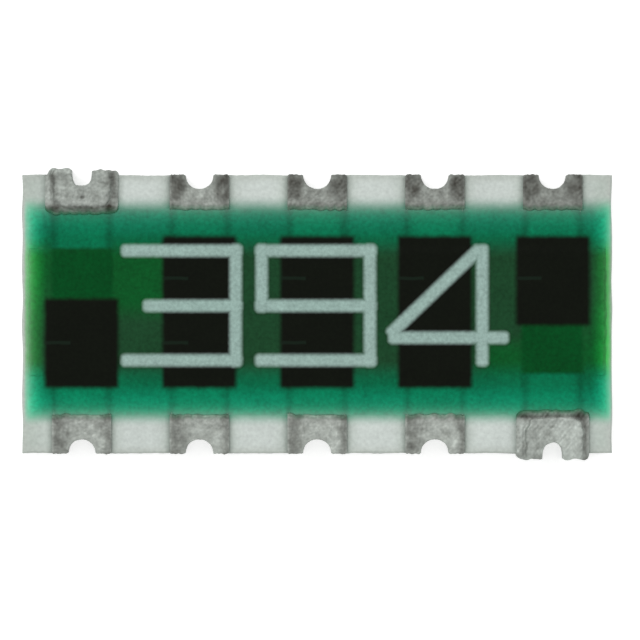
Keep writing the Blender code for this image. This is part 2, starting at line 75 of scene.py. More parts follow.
# Half width in metres of the wall that joins a terminal's top to its land
PLAIN_WEB = 0.00019
HEAVY_WEB = 0.00023

# Metres: how far the coat lies below its CAD top, its crowns over glass and films, ripples and border dips
COAT_DROP = 0.000014
GLASS_CROWN = 0.00001
FILM_CROWN = 0.000004
COAT_RIPPLE = 0.0000006
BORDER_DIP_OVER = 0.0000015
BORDER_DIP_UNDER = 0.0000025

# Tarnish of terminals 1 to 10, from 0 for clean to 1 for dark
TARNISH_LEVELS = (0.26, 0.23, 0.19, 0.22, 0.37, 0.52, 0.45, 0.47, 0.34, 0.38)

# For each row the two bands of painted shade along the sides of a plain terminal: its side, its width in
# metres and its darkness
SIDE_SHADE_BANDS = {
    1.0: ((-1.0, 0.00012, 0.76), (1.0, 0.00006, 0.80)),
    -1.0: ((-1.0, 0.00019, 0.54), (1.0, 0.0001, 0.54)),
}

# What sets the two heavy terminals apart: shares of the tarnish_and_shade mark (a painted sheen, dark spots
# and a painted highlight on the west skirt), then metres
HEAVY_SHEEN = {5: 0.2, 10: 0.0}
HEAVY_SPOTS = {5: 0.08, 10: 0.27}
HEAVY_WEST_HIGHLIGHT = {5: 1.0, 10: 0.0}
EAR_TRIM = {5: 0.0, 10: 0.000026}
EAR_DROP = {5: 0.0, 10: 0.000016}
PAD_SHIFT = {5: 0.00002, 10: 0.000004}

# Lower left and upper right corner in millimetres of what shows through the coat, and of where the inner band
# is painted lighter beside the tracks
LEFT_TRACK = ((-2.86, -0.1), (-2.2, 0.75))
RIGHT_TRACK = ((2.2, -0.7), (2.86, 0.15))
BESIDE_LEFT_TRACK = ((-2.3, 0.02), (-1.6, 0.9))
BESIDE_RIGHT_TRACK = ((1.75, -0.9), (2.3, -0.3))
BAND_ON_CERAMIC = ((-3.3, -0.62), (3.3, 0.735))
BAND_ON_SILVER = ((-3.3, -0.64), (3.3, 0.712))
LONG_FILM_COLUMNS = ((-1.9, -1.0), (1.9, 1.0))

# Linear colour of the painted shade along the edge of a pad under the coat
PAD_EDGE_PAINTED_SHADE = (0.0, 0.02, 0.005)

# Corners in millimetres again, measured from the middle of a column of terminals
PAD_SEEN = ((-0.265, 0.5), (0.265, 1.6))
PAD_WITH_SHADED_EDGE = ((-0.33, 0.5), (0.33, 1.6))
LOWER_CUT = ((-0.40, -0.325), (-0.12, -0.29))
UPPER_CUT = ((-0.40, 0.37), (-0.12, 0.405))
# The last two: painted shade on the ceramic near a terminal and right beside it
SHADE_NEAR_TERMINAL = ((-0.4, -2.0), (0.4, 2.0))
SHADE_BESIDE_TERMINAL = ((-0.345, -2.0), (0.345, 2.0))

# Corners in millimetres of the ceramic's pale middle, past which it is darker towards both ends, and of its
# painted shade beside the two heavy terminals
PALE_MIDDLE = ((-2.95, -2.0), (2.93, 2.0))
SHADE_BESIDE_HEAVY = (((-2.96, 1.05), (-2.12, 1.7)), ((2.12, -1.7), (2.96, -1.05)))


def length(name, default, description):
    """A size in metres."""
    return bpy.props.FloatProperty(
        name=name, description=description, default=default, unit="LENGTH", precision=6, min=0.0
    )


def linear(red, green, blue):
    """A screen colour of 0 to 255 as the linear colour that shaders take."""
    share = np.array((red, green, blue)) / 255.0
    return tuple(np.where(share <= 0.04045, share / 12.92, ((share + 0.055) / 1.055) ** 2.4))


def tint(name, screen, description):
    """A colour, given as it looks on a screen."""
    return bpy.props.FloatVectorProperty(
        name=name, description=description, default=linear(*screen), subtype="COLOR", size=3, min=0.0, max=1.0
    )


class NetworkSizes(bpy.types.PropertyGroup):
    """Sizes of the visible pieces that a user would change."""

    pitch: length("Pitch", PITCH, "Distance between neighbouring terminals")
    hole_radius: length("Hole radius", 0.00017, "Radius of the half-round hole in the ceramic's edge")
    edge_waviness: length("Edge waviness", 0.000005, "How far the snapped ceramic edge strays from straight")
    edge_break: length("Edge break", 0.00002, "Width of the broken upper and lower ceramic edges")
    plain_notch: length("Plain notch", 0.000151, "Radius of the open notch in a plain terminal")
    plating_past_edge: length("Plating past edge", 0.000006, "How far plain plating stands past the ceramic")
    heavy_notch: length("Heavy notch", 0.000112, "Half width of the open notch in a heavily plated terminal")
    plating_lumps: length("Plating lumps", 0.0000022, "Height of the lumps in the plating")
    wrap_drop: length("Wrap drop", 0.00003, "How far plain plating folds down over the ceramic's edge")
    heavy_drop: length("Heavy drop", 0.00006, "How far heavy plating folds down over the ceramic's edge")
    pad_raise: length("Pad raise", 0.000022, "Height of the bright pad above its skirt on a heavy terminal")
    pad_half: length("Pad half width", 0.000302, "Half width of that bright pad")
    pad_corner: length("Pad corner", 0.000135, "Corner radius of that bright pad")
    lip: length("Lip", 0.000056, "How far heavy plating laps over the coat")
    coat_stray: length("Coat stray", 0.000012, "How far the coat's long edges stray inwards")
    coat_taper: length("Coat taper", 0.00018, "Width over which the coat thins out at its edge")
    coat_thinnest: length("Thinnest coat", 0.000003, "Thickness of the coat at its feather edge")
    stroke_width: length("Stroke width", 0.000126, "Width of a stroke, to the middle of its thin edge")
    ink_fade: length("Ink fade", 0.000055, "Width of a stroke's thin edge, through which the coat shows")
    stroke_corner: length("Stroke corner", 0.00004, "Corner radius of a stroke")
    ink_height: length("Ink height", 0.000009, "Thickness of the printed ink")


class NetworkColours(bpy.types.PropertyGroup):
    """Colours of the visible pieces that a user would change."""

    ceramic: tint("Ceramic", (199, 207, 202), "Fired alumina")
    ceramic_rim: tint("Ceramic rim", (182, 189, 182), "Alumina along its snapped edge")
    # Darker alumina towards the chip's ends; near the terminals this colour is painted shade
    ceramic_darker_end_and_shade: tint("Ceramic corner", (180, 190, 182), "Alumina near the chip's ends and terminals")
    # Painted shade on the alumina right beside a terminal
    ceramic_painted_shade: tint("Ceramic shade", (138, 147, 140), "Alumina right beside a terminal")
    coat_inner: tint("Coat, inner", (3, 100, 66), "Green coat over ceramic where it meets the inner glass")
    coat_upper: tint("Coat, upper edge", (14, 124, 94), "Green coat towards terminals 6 to 10")
    coat_lower: tint("Coat, lower edge", (0, 145, 107), "Green coat towards terminals 1 to 5")
    coat_corner: tint("Coat, end", (8, 215, 158), "Green coat of both bands at the chip's two ends")
    coat_on_silver: tint("Coat on silver", (0, 122, 82), "Green coat over a silver pad")
    # Band colours: painted shade and light, for light that spreads through the ceramic under the coat and is
    # lost under the black films: darker in the middle, brighter beside the tracks and at the ends
    band_middle: tint("Band, middle", (25, 65, 38), "Coat and inner glass in the middle of the chip")
    band_side: tint("Band, side", (7, 81, 34), "Coat and inner glass beside the tracks")
    band_end: tint("Band, end", (12, 165, 56), "Coat and inner glass at the ends beside a resistor")
    band_bright: tint("Band, bright end", (14, 188, 66), "Coat and inner glass at the ends beside a track")
    band_on_track: tint("Band on track", (0, 69, 27), "Coat and inner glass over a silver track")
    resistor: tint("Resistor", (10, 14, 7), "Resistor film seen through the coat")
    trim_cut: tint("Trim cut", (20, 34, 24), "Laser cut in a resistor film seen through the coat")
    tin_bright: tint("Tin, bright", (181, 188, 182), "Clean tin of the heavily plated terminals")
    tin_plain: tint("Tin, plain", (173, 179, 173), "Clean tin of the plain terminals")
    haze: tint("Haze", (62, 130, 98), "Trace of green where plating meets the coat")
    # Dark end of the tarnish_and_shade mark: tarnished tin, and painted shade on the terminals
    tin_tarnish_and_shade: tint("Tin, dark", (62, 59, 53), "Tarnished tin in pits and corners")
    ink: tint("Ink", (147, 173, 165), "Ink of the value code")
    silver: tint("Silver", (196, 193, 184), "Fired silver film")
    glass: tint("Inner glass", (10, 78, 38), "Inner glass over the resistors")


def smooth_step(low, high, value):
    """3t^2 - 2t^3, where t runs evenly from 0 at low to 1 at high and stays there."""
    t = np.clip((value - low) / (high - low), 0.0, 1.0)
    return t * t * (3.0 - 2.0 * t)


def bell(value, middle, width):
    """exp(-((value - middle) / width)^2)."""
    return np.exp(-(((value - middle) / width) ** 2))


def within(value, low, high):
    """Distance to the nearer of two limits, positive between them."""
    return np.minimum(value - low, high - value)


def patch(x, y, corners, soft):
    """1 on a rectangle and 0 off it: the product of a smooth step across each pair of its edges."""
    (left, low), (right, high) = corners
    reach_x = np.abs(x - (left + right) / 2) - (right - left) / 2
    reach_y = np.abs(y - (low + high) / 2) - (high - low) / 2
    return smooth_step(soft, -soft, reach_x) * smooth_step(soft, -soft, reach_y)


def lumps(x, y, size, seed):
    """Unevenness of about -1 to 1: a sum of plane waves near one length, each with a heading and start."""
    draw = np.random.default_rng(seed)
    heading = draw.uniform(0.0, 2.0 * np.pi, WAVES)
    number = 2.0 * np.pi / (size * draw.uniform(0.7, 1.5, WAVES))
    start = draw.uniform(0.0, 2.0 * np.pi, WAVES)
    along = x[..., None] * np.cos(heading) + y[..., None] * np.sin(heading)
    return np.cos(along * number + start).sum(-1) / np.sqrt(WAVES)


def corners_of(box, grow=0.0):
    """Lower left and upper right corner of a CAD box in plan, grown by a margin."""
    low, high = box
    return (low.x - grow, low.y - grow), (high.x + grow, high.y + grow)


def column_x(x, pitch):
    """Distance from the nearest column of terminals: x less the nearest whole number of pitches."""
    return x - pitch * np.clip(np.round(x / pitch), -2, 2)


def skin(rows, columns):
    """Faces of the closed body between two grids of that size: both grids and the rim that joins them."""
    number = np.arange(rows * columns).reshape(rows, columns)
    top = np.stack([number[:-1, :-1], number[1:, :-1], number[1:, 1:], number[:-1, 1:]], -1).reshape(-1, 4)
    bottom = top[:, ::-1] + rows * columns
    border = np.concatenate([number[:-1, 0], number[-1, :-1], number[:0:-1, -1], number[0, :0:-1]])
    onward = np.roll(border, -1)
    rim = np.stack([border, border + rows * columns, onward + rows * columns, onward], -1)
    return np.concatenate([top, bottom, rim])


def closed_body(pairs):
    """Vertices and faces of one or more bodies, each given as its upper and lower grid."""
    points, faces, start = [], [], 0
    for upper, lower in pairs:
        faces.append(skin(*upper.shape[:2]) + start)
        points += [upper.reshape(-1, 3), lower.reshape(-1, 3)]
        start += 2 * upper.shape[0] * upper.shape[1]
    return np.concatenate(points), np.concatenate(faces)


def make_piece(name, pairs, material, nodes, marks=None, crease=40.0):
    """Makes a piece from closed bodies, with its marks as vertex attributes, and gives it to the frame."""
    points, faces = closed_body(pairs)
    mesh = bpy.data.meshes.new(name)
    mesh.from_pydata(points.tolist(), [], faces.tolist())
    for label, values in (marks or {}).items():
        mesh.attributes.new(label, "FLOAT", "POINT").data.foreach_set("value", values.astype(np.float32))
    shape = bmesh.new()
    shape.from_mesh(mesh)
    bmesh.ops.remove_doubles(shape, verts=shape.verts, dist=1e-8)
    shape.to_mesh(mesh)
    shape.free()
    mesh.polygons.foreach_set("use_smooth", np.ones(len(mesh.polygons), dtype=bool))
    mesh.set_sharp_from_angle(angle=np.radians(crease))
    mesh.materials.append(material)
    mesh.validate()
    piece = bpy.data.objects.new(name, mesh)
    bpy.data.collections[PIECE_COLLECTION].objects.link(piece)
    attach(piece, "root")
    if nodes:
        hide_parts(*nodes)


def edge_depth(x, sizes):
    """How far each castellation cuts into the ceramic: the height of a half circle at each column."""
    return np.sqrt(np.maximum(sizes.hole_radius**2 - column_x(x, sizes.pitch) ** 2, 0.0))


def ceramic_stations(sizes):
    """Places along the chip: even steps, and steps that follow the angle round each castellation."""
    low, high = CERAMIC_BOX
    even = np.linspace(low.x + sizes.edge_break, high.x - sizes.edge_break, 200)
    turn = np.sin(np.linspace(-np.pi / 2, np.pi / 2, 25)) * sizes.hole_radius
    holes = (np.arange(-2, 3)[:, None] * sizes.pitch + turn).ravel()
    clear = np.abs(column_x(even, sizes.pitch)) > sizes.hole_radius + 0.000004
    ends = np.array([low.x, low.x + sizes.edge_break / 2, high.x - sizes.edge_break / 2, high.x])
    return np.sort(np.concatenate([even[clear], holes, ends]))


def ceramic_body(sizes):
    """Upper and lower grid of the chip: y is the half width less the castellation and, away from it, the
    snapped edge's waviness, times a share that runs across the chip, and z drops by the edge break at every
    outer edge."""
    low, high = CERAMIC_BOX
    broken, waviness = sizes.edge_break, sizes.edge_waviness
    x = ceramic_stations(sizes)[:, None]
    inset = np.array([0.0, 0.0, 0.0, 0.5, 1.0]) * broken
    deepest = 0.5 * (high.z - low.z) - 0.00002
    drop = np.array([deepest, 0.00012, broken, 0.4 * broken, 0.0])
    inner = np.linspace(-1.0, 1.0, 51)[1:-1]
    side = np.concatenate([-np.ones(inset.size), inner, np.ones(inset.size)])[None, :]
    inset = np.concatenate([inset, np.full(inner.size, inset[-1]), inset[::-1]])[None, :]
    drop = np.concatenate([drop, np.zeros(inner.size), drop[::-1]])[None, :]
    grids = []
    for level, sign, seed in ((high.z, -1.0, 11), (low.z, 1.0, 12)):
        long_waves = lumps(x, np.sign(side) + 0 * x, 0.0006, seed)
        snapped = waviness * (long_waves + 0.4 * lumps(x, side * 0.01, 0.00008, seed + 1))
        free = smooth_step(0.0002, 0.00026, np.abs(column_x(x, sizes.pitch)))
        half = high.y - edge_depth(x, sizes) - inset - snapped * free
        y = side * half
        from_end = within(x, low.x, high.x)
        end = smooth_step(0.0, broken, from_end)
        stray = waviness * lumps(y, np.sign(x) + 0 * y, 0.0005, seed + 2)
        wide = x + stray * smooth_step(0.0004, 0.0, from_end)
        chips = 1.0 + 0.35 * lumps(x + 0 * y, y, 0.00009, seed + 3)
        z = level + sign * np.maximum(drop, broken * chips * (1.0 - end) * (drop <= broken))
        grids.append(np.stack([wide + 0 * y, y, z + 0 * y], -1))
    return grids[0], grids[1]


def coat_underside(x, y):
    """Height of the coat's lower face: the highest of the ceramic, the silver, the resistor films and the
    inner glass at each point, with each of them a patch."""
    base = COAT_BOX[0].z
    (left, low), (right, high) = corners_of(PAD_BOX)
    near = column_x(x, PITCH)
    pad = patch(near, np.abs(y), ((left, low - 0.0001), (right, high)), 0.000012)
    level = base + (PAD_BOX[1].z + FILM_GAP - base) * pad
    for box in (*RESISTOR_BOXES, GLAZE_BOX):
        film = patch(x, y, corners_of(box, FILM_SLOPE), FILM_SLOPE)
        level = np.maximum(level, base + (box[1].z + FILM_GAP - base) * film)
    return level


def coat_top(x, y, sizes):
    """Height of the coat's upper face: its outer level, a low crown over the glass and the films, and a
    smooth step down to a feather edge, but never less than the thinnest coat over what lies below."""
    (left, low), (right, high) = corners_of(COAT_BOX)
    inside = np.minimum(within(x, left, right), within(y, low, high))
    fall = smooth_step(0.0, sizes.coat_taper, inside)
    base, full = COAT_BOX[0].z, COAT_BOX[1].z
    crown = patch(x, y, corners_of(GLAZE_BOX), 0.00006)
    films = np.zeros(np.broadcast(x, y).shape)
    for box in RESISTOR_BOXES:
        films = np.maximum(films, patch(x, y, corners_of(box), 0.00004))
    level = (full - COAT_DROP - base) + GLASS_CROWN * crown + FILM_CROWN * films
    level = level + COAT_RIPPLE * lumps(x, y, 0.00025, 31)
    return np.maximum(base + level * fall, coat_underside(x, y) + sizes.coat_thinnest)


def coat_stations(low, high, taper, count):
    """Places along one side of the coat: even steps, and closer ones where it thins out."""
    rim = taper * np.linspace(0.0, 1.0, 7)[:-1] ** 1.5
    return np.concatenate([low + rim, np.linspace(low + taper, high - taper, count), (high - rim)[::-1]])


def coat_body(sizes):
    """Upper and lower grid of the coat over its printed rectangle, whose edge wanders a little. Along the
    border both faces dip to what lies beneath, so that the coat ends in a feather edge."""
    (left, low), (right, high) = corners_of(COAT_BOX)
    x = coat_stations(left, right, sizes.coat_taper, 330)
    y = coat_stations(low, high, sizes.coat_taper, 130)
    x, y = np.meshgrid(x, y, indexing="ij")
    near_x = smooth_step(0.0002, 0.0, within(x, left, right))
    near_y = smooth_step(0.0002, 0.0, within(y, low, high))
    along = x + 0.000006 * lumps(y, np.sign(x), 0.0002, 41) * near_x
    up = y - edge_stray(along, np.sign(y), sizes) * near_y * np.sign(y)
    under = coat_underside(along, up)
    over = coat_top(along, up, sizes)
    for place in (np.s_[0], np.s_[-1], np.s_[:, 0], np.s_[:, -1]):
        over[place] = under[place] - BORDER_DIP_OVER
        under[place] -= BORDER_DIP_UNDER
    return np.stack([along, up, over], -1), np.stack([along, up, under], -1)


def edge_stray(x, row, sizes):
    """How far the coat's long edge of that row lies inside its rectangle: the size of a sum of waves."""
    return sizes.coat_stray * np.abs(lumps(x, row + 0 * x, 0.00017, 42))


def notch_depth(x, half, depth, power):
    """Depth of an open notch: depth times (1 - |x / half|^power)^(1 / power), with a worn lip."""
    bowl = depth * np.maximum(1.0 - np.abs(x / half) ** power, 0.0) ** (1.0 / power)
    return np.maximum(bowl, 0.00001 * smooth_step(half + 0.00002, half, np.abs(x)))


def terminal_stations(half, notch):
    """Places across a terminal, closer together round the notch."""
    outer = np.linspace(notch, half, 30)
    turn = notch * np.sin(np.linspace(-np.pi / 2, np.pi / 2, 43))[1:-1]
    return np.concatenate([-outer[::-1], turn, outer])[:, None]


def wrap_body(x, outline, top, inner_top, reach, drop, web, rounding):
    """Upper and lower grid of plating that wraps the chip's edge: one path per station, in along the top,
    down the wall and back along the underside. Beside the web the wall sinks into the ceramic, and the lower
    grid is the upper one held back to the silver's surface."""
    reach_top, reach_bottom = reach
    low, high = CERAMIC_BOX
    behind = np.where(np.abs(x) < SILVER_NOTCH, silver_outline(x) + 0.000006, high.y + FILM_GAP)
    outline = np.where(np.abs(x) < web, np.maximum(outline, behind), outline)
    turn = np.linspace(0.0, np.pi / 2, 6)
    run = (1.0 - np.cos(np.linspace(0.0, np.pi, 46))) / 2 * 0.35 + np.linspace(0.0, 1.0, 46) * 0.65
    y_top = reach_top + (outline - rounding - reach_top) * run[None, :]
    z_top = top(x, y_top)
    y_turn = outline - rounding * (1.0 - np.sin(turn))[None, :]
    z_turn = z_top[:, -1:] - rounding * (1.0 - np.cos(turn))[None, :]
    share = np.linspace(0.0, 1.0, 28)[None, 1:-1]
    foot = 0.000012
    z_wall = z_turn[:, -1:] + (foot - z_turn[:, -1:]) * share
    y_wall = outline + 0 * z_wall
    y_foot = outline - foot * (1.0 - np.cos(turn))[None, :]
    z_foot = foot * (1.0 - np.sin(turn))[None, :] + 0 * y_foot
    y_bottom = outline - foot + (reach_bottom - outline + foot) * np.linspace(0.0, 1.0, 12)[None, 1:]
    z_bottom = 0 * y_bottom
    y = np.concatenate([y_top, y_turn[:, 1:], y_wall, y_foot, y_bottom], 1)
    z = np.concatenate([z_top, z_turn[:, 1:], z_wall, z_foot, z_bottom], 1)
    on_wall = np.zeros(y.shape[1])
    first = y_top.shape[1]
    on_wall[first : first + turn.size - 1 + z_wall.shape[1] + turn.size] = 1.0
    soft = 0.000008
    above = smooth_step(high.z - drop - soft, high.z - drop + soft, z)
    below = smooth_step(low.z + drop + soft, low.z + drop - soft, z)
    in_web = smooth_step(web + soft, web - soft, np.abs(x)) + 0 * z
    covered = np.maximum(in_web, np.maximum(above, below))
    sunk = high.y - 0.00002
    y = np.where(on_wall > 0, y * covered + np.minimum(sunk, y) * (1.0 - covered), y)
    grain = 0.0000018 * lumps(x * 1.3 + z, y - 0.7 * z, 0.00003, 57)
    y = y + grain * on_wall * covered
    y_in = np.minimum(y - 0.000008 * on_wall, silver_outline(x))
    past_silver = np.abs(x) > PAD_BOX[1].x + 0.000003
    floor_level = np.where(past_silver, low.z, PAD_BOX[0].z - FILM_GAP)
    roof_level = np.where(past_silver & (y > COAT_BOX[1].y), high.z, inner_top(x, y))
    z_in = np.clip(z, floor_level, roof_level)
    upper_wall = (on_wall[None, :] > 0) & (z > 0.0003)
    z_in = np.where(upper_wall, np.minimum(z_in, PAD_BOX[1].z + FILM_GAP), z_in)
    return np.stack([x + 0 * y, y, np.maximum(z, 0.0)], -1), np.stack([x + 0 * y, y_in, z_in], -1)


def silver_outline(x):
    """Outer face of the silver in plan: just past the ceramic's edge, and a half circle inside the notch."""
    bowl = np.sqrt(np.maximum(SILVER_NOTCH**2 - x**2, 0.0))
    return CERAMIC_BOX[1].y + 0.000001 - bowl


def terminal_place(number, pitch):
    """Column and row of a terminal: 1 to 5 run along the lower edge, 6 to 10 back along the upper one."""
    if number <= 5:
        return (number - 3) * pitch, -1.0
    return (8 - number) * pitch, 1.0


def coat_limit(row):
    """How far the coat's rectangle reaches towards that row of terminals."""
    return COAT_BOX[1].y if row > 0 else -COAT_BOX[0].y


def inner_edge(x, number, sizes, lap=0.000006, corner=0.0):
    """Where plating ends on the coat: that lap past the coat's straying edge, less at its rounded corners."""
    column, row = terminal_place(number, sizes.pitch)
    past = np.clip((np.abs(x) - HEAVY_HALF + corner) / corner, 0.0, 1.0) if corner else 0.0 * x
    return coat_limit(row) - edge_stray(column + row * x, row, sizes) - lap * np.sqrt(1.0 - 0.98 * past**2)


def spot(across, out, middle, size):
    """Soft spot: a steepened bell over an ellipse."""
    reach = ((across - middle[0]) / size[0]) ** 2 + ((out - middle[1]) / size[1]) ** 2
    return np.exp(-(reach**1.4))


def plain_terminal(sizes, number):
    """Grids and marks of a plain terminal: a lumpy sheet whose edge follows the notch, with painted shade
    along its sides. A blotch near each outer corner is darker in the upper row and lighter in the lower one."""
    seed = 100 + 10 * number
    row = terminal_place(number, sizes.pitch)[1]
    half = PLAIN_BOX[1].x
    edge = CERAMIC_BOX[1].y + sizes.plating_past_edge
    x = terminal_stations(half, sizes.plain_notch)
    stray = 0.000003 * lumps(x, x * 0 + seed, 0.00007, seed)
    corner = 0.000014 * smooth_step(half - 0.000025, half, np.abs(x)) ** 2
    depth = notch_depth(x, sizes.plain_notch, edge - CERAMIC_BOX[1].y + sizes.plain_notch, 2.1)
    outline = edge - depth - corner + stray

    def top(across, out):
        """Tin level with lumps of two sizes, thinner at the side edges and where it meets the coat."""
        coarse = lumps(across + seed, out, 0.00011, seed + 1)
        fine = lumps(across, out + seed, 0.000035, seed + 2)
        side = smooth_step(half - 0.00004, half, np.abs(across))
        end = 1.0 - np.clip((out - inner_edge(across, number, sizes)) / 0.00002, 0.0, 1.0)
        level = PLAIN_BOX[1].z + 0.000003 + sizes.plating_lumps * (coarse + 0.35 * fine) - 0.000006 * side
        return np.maximum(level, PAD_BOX[1].z + 0.000012) - 0.000009 * end**2

    def inner_top(across, out):
        """Silver's upper face."""
        return PAD_BOX[1].z + FILM_GAP + 0 * (across + out)

    reach = (inner_edge(x, number, sizes), PLAIN_BOX[0].y)
    upper, lower = wrap_body(x, outline, top, inner_top, reach, sizes.wrap_drop, PLAIN_WEB, 0.00001)
    across, out = upper[..., 0], upper[..., 1]
    draw = np.random.default_rng(seed)
    tarnish_and_shade = TARNISH_LEVELS[number - 1] + 0.0 * across
    ragged = 0.000015 * lumps(across, out, 0.00009, seed + 6)
    meets = out - inner_edge(across, number, sizes)
    inward = smooth_step(0.00016, 0.00006, meets + ragged)
    # Painted shade along both sides of the terminal
    for east, band, deep in SIDE_SHADE_BANDS[row]:
        side = east * row
        width = band * draw.uniform(0.8, 1.2)
        share = smooth_step(half - width - 0.00006, half - 0.3 * width, side * across + ragged)
        border = smooth_step(half - 0.00003, half - 0.000004, np.abs(across))
        share = share * (1.0 - border * (0.4 - 0.2 * east))
        tarnish_and_shade = tarnish_and_shade + (deep - 0.24 * inward * (row > 0) - tarnish_and_shade) * share
        middle = side * draw.uniform(0.00021, 0.00024), draw.uniform(0.00137, 0.0014)
        size = draw.uniform(0.00007, 0.00008) * (1.0 - 0.15 * east), draw.uniform(0.0001, 0.00013)
        blotch = spot(across, out, middle, size)
        tarnish_and_shade = tarnish_and_shade + ((0.8 - tarnish_and_shade) * (row > 0) - (0.09 + 0.13 * east) * (row < 0)) * blotch
    tarnish_and_shade = tarnish_and_shade + 0.18 * smooth_step(0.00008, 0.00003, meets)
    tarnish_and_shade = tarnish_and_shade + 0.07 * lumps(across + seed, out, 0.00014, seed + 4)
    tarnish_and_shade = tarnish_and_shade + 0.04 * lumps(across, out, 0.00004, seed + 3)
    haze = 0.5 * smooth_step(0.00007, -0.00001, meets)
    return upper, lower, np.clip(tarnish_and_shade, 0.0, 1.0), haze


def rounded_reach(across, out, middle, half, corner):
    """Signed distance from a rectangle with rounded corners, negative inside."""
    dx = np.abs(across - middle[0]) - half[0] + corner
    dy = np.abs(out - middle[1]) - half[1] + corner
    outside = np.hypot(np.maximum(dx, 0.0), np.maximum(dy, 0.0))
    return outside + np.minimum(np.maximum(dx, dy), 0.0) - corner


def heavy_terminal(sizes, number):
    """Grids and marks of a heavily plated terminal: ears, a raised rounded pad inside a groove, and a dull
    lip that laps over the coat. Its tarnish_and_shade mark also holds painted shade on the east skirt and, on
    terminal 5, a painted sheen on the pad's east half and a painted highlight on the west skirt."""
    seed = 100 + 10 * number
    column, row = terminal_place(number, sizes.pitch)
    half, edge = HEAVY_HALF, HEAVY_BOX[1].y
    coat_edge = coat_limit(row)
    x = terminal_stations(half, sizes.heavy_notch)
    ear = 0.000055
    trim = EAR_TRIM[number] * (x < 0)
    past = np.clip((np.abs(x) - half + trim + ear) / ear, 0.0, 1.0)
    rounded = (0.9 * ear + 0.6 * trim) * (1.0 - np.sqrt(np.maximum(1.0 - past**2, 0.0)))
    rounded = rounded + EAR_DROP[number] * smooth_step(0.00004, 0.00014, x)
    stray = 0.000006 * lumps(x, x * 0 + seed, 0.00009, seed)
    depth = notch_depth(x, sizes.heavy_notch, edge - CERAMIC_BOX[1].y + sizes.heavy_notch, 2.7)
    outline = edge - depth - rounded + stray - 0.000004
    pad_low = coat_edge + 0.00002
    pad_high = edge + 0.00005
    middle = (row * PAD_SHIFT[number], (pad_low + pad_high) / 2)
    pad_size = (sizes.pad_half, (pad_high - pad_low) / 2)
    pit = (0.000012, coat_edge + 0.00012)

    def end_of_lip(across):
        """Inner edge of the lip."""
        return inner_edge(across, number, sizes, sizes.lip, 0.00015)

    def reach_from_pad(across, out):
        """Signed distance from the bright pad."""
        wander = 0.000008 * lumps(across, out, 0.00012, seed + 5)
        return rounded_reach(across, out, middle, pad_size, sizes.pad_corner) + wander

    def top(across, out):
        """Skirt, pad and groove, with a pit in the pad, rounded towards both sides, the ears and the lip."""
        reach = reach_from_pad(across, out)
        pad = smooth_step(0.000012, -0.000012, reach)
        groove = bell(reach, 0.000028, 0.000016)
        bead = bell(reach, -0.00003, 0.00002)
        coarse = lumps(across + seed, out, 0.00012, seed + 1)
        fine = lumps(across, out + seed, 0.00004, seed + 2)
        lip = smooth_step(coat_edge + 0.00003, coat_edge, out)
        end = 1.0 - np.clip((out - end_of_lip(across)) / 0.000055, 0.0, 1.0)
        side = np.clip((np.abs(across) - sizes.pad_half) / (half - sizes.pad_half), 0.0, 1.0) ** 2
        ear_fall = smooth_step(edge - 0.00006, edge, out)
        level = HEAVY_BOX[1].z - 0.000006 - sizes.pad_raise * (1.0 - pad) + 0.000003 * bead
        level = level + sizes.plating_lumps * (coarse + 0.4 * fine) + 0.00001 * lip - 0.000032 * end**1.6
        groove = groove * (1.0 - 0.7 * smooth_step(coat_edge + 0.0001, coat_edge + 0.00005, out))
        hollow = spot(across, out, pit, (0.00002, 0.000018))
        level = level - 0.00001 * (groove + hollow + ear_fall) - 0.000024 * side
        return np.clip(level, CERAMIC_BOX[1].z + 0.000009, HEAVY_BOX[1].z + 0.000003)

    def inner_top(across, out):
        """Silver's upper face, and the coat's under the lip."""
        on_coat = coat_top(column + row * across, row * out, sizes) - 0.000001
        return np.where(out < coat_edge, on_coat, PAD_BOX[1].z + FILM_GAP)

    reach = (end_of_lip(x), HEAVY_BOX[0].y)
    upper, lower = wrap_body(x, outline, top, inner_top, reach, sizes.heavy_drop, HEAVY_WEB, 0.000016)
    across, out = upper[..., 0], upper[..., 1]
    far = reach_from_pad(across, out)
    east = row * across
    groove = bell(far, 0.000015, 0.000022) * smooth_step(edge - 0.00002, edge - 0.00008, out)
    # Painted highlight on the west skirt of terminal 5, where the groove's darkness is also taken out
    west_highlight = HEAVY_WEST_HIGHLIGHT[number] * smooth_step(-0.0002, -0.0003, east)
    groove = groove * (1.0 - west_highlight) - 1.6 * west_highlight * spot(east, out, (-0.00033, 0.00124), (0.00003, 0.00012))
    lip = smooth_step(coat_edge + 0.00004, coat_edge, out)
    # Painted shade on the east skirt
    shaded = smooth_step(0.00001, 0.00004, far) * smooth_step(0.00024, 0.00032, east) * (1.0 - lip)
    tarnish_and_shade = TARNISH_LEVELS[number - 1] + 0.13 * groove + 0.26 * shaded + 0.28 * lip
    for side in (-0.0003, 0.0003):
        at_edge = spot(across, out, (side, edge - 0.00012), (0.00005, 0.00007))
        tarnish_and_shade = tarnish_and_shade + HEAVY_SPOTS[number] * at_edge
        tarnish_and_shade = tarnish_and_shade + 0.3 * spot(across, out, (side, coat_edge + 0.000005), (0.00006, 0.00005))
    tarnish_and_shade = tarnish_and_shade + 0.34 * spot(across, out, pit, (0.000028, 0.00002))
    # Painted sheen on the east half of the pad of terminal 5
    tarnish_and_shade = tarnish_and_shade - HEAVY_SHEEN[number] * smooth_step(-0.00012, 0.00012, east) * (far < 0)
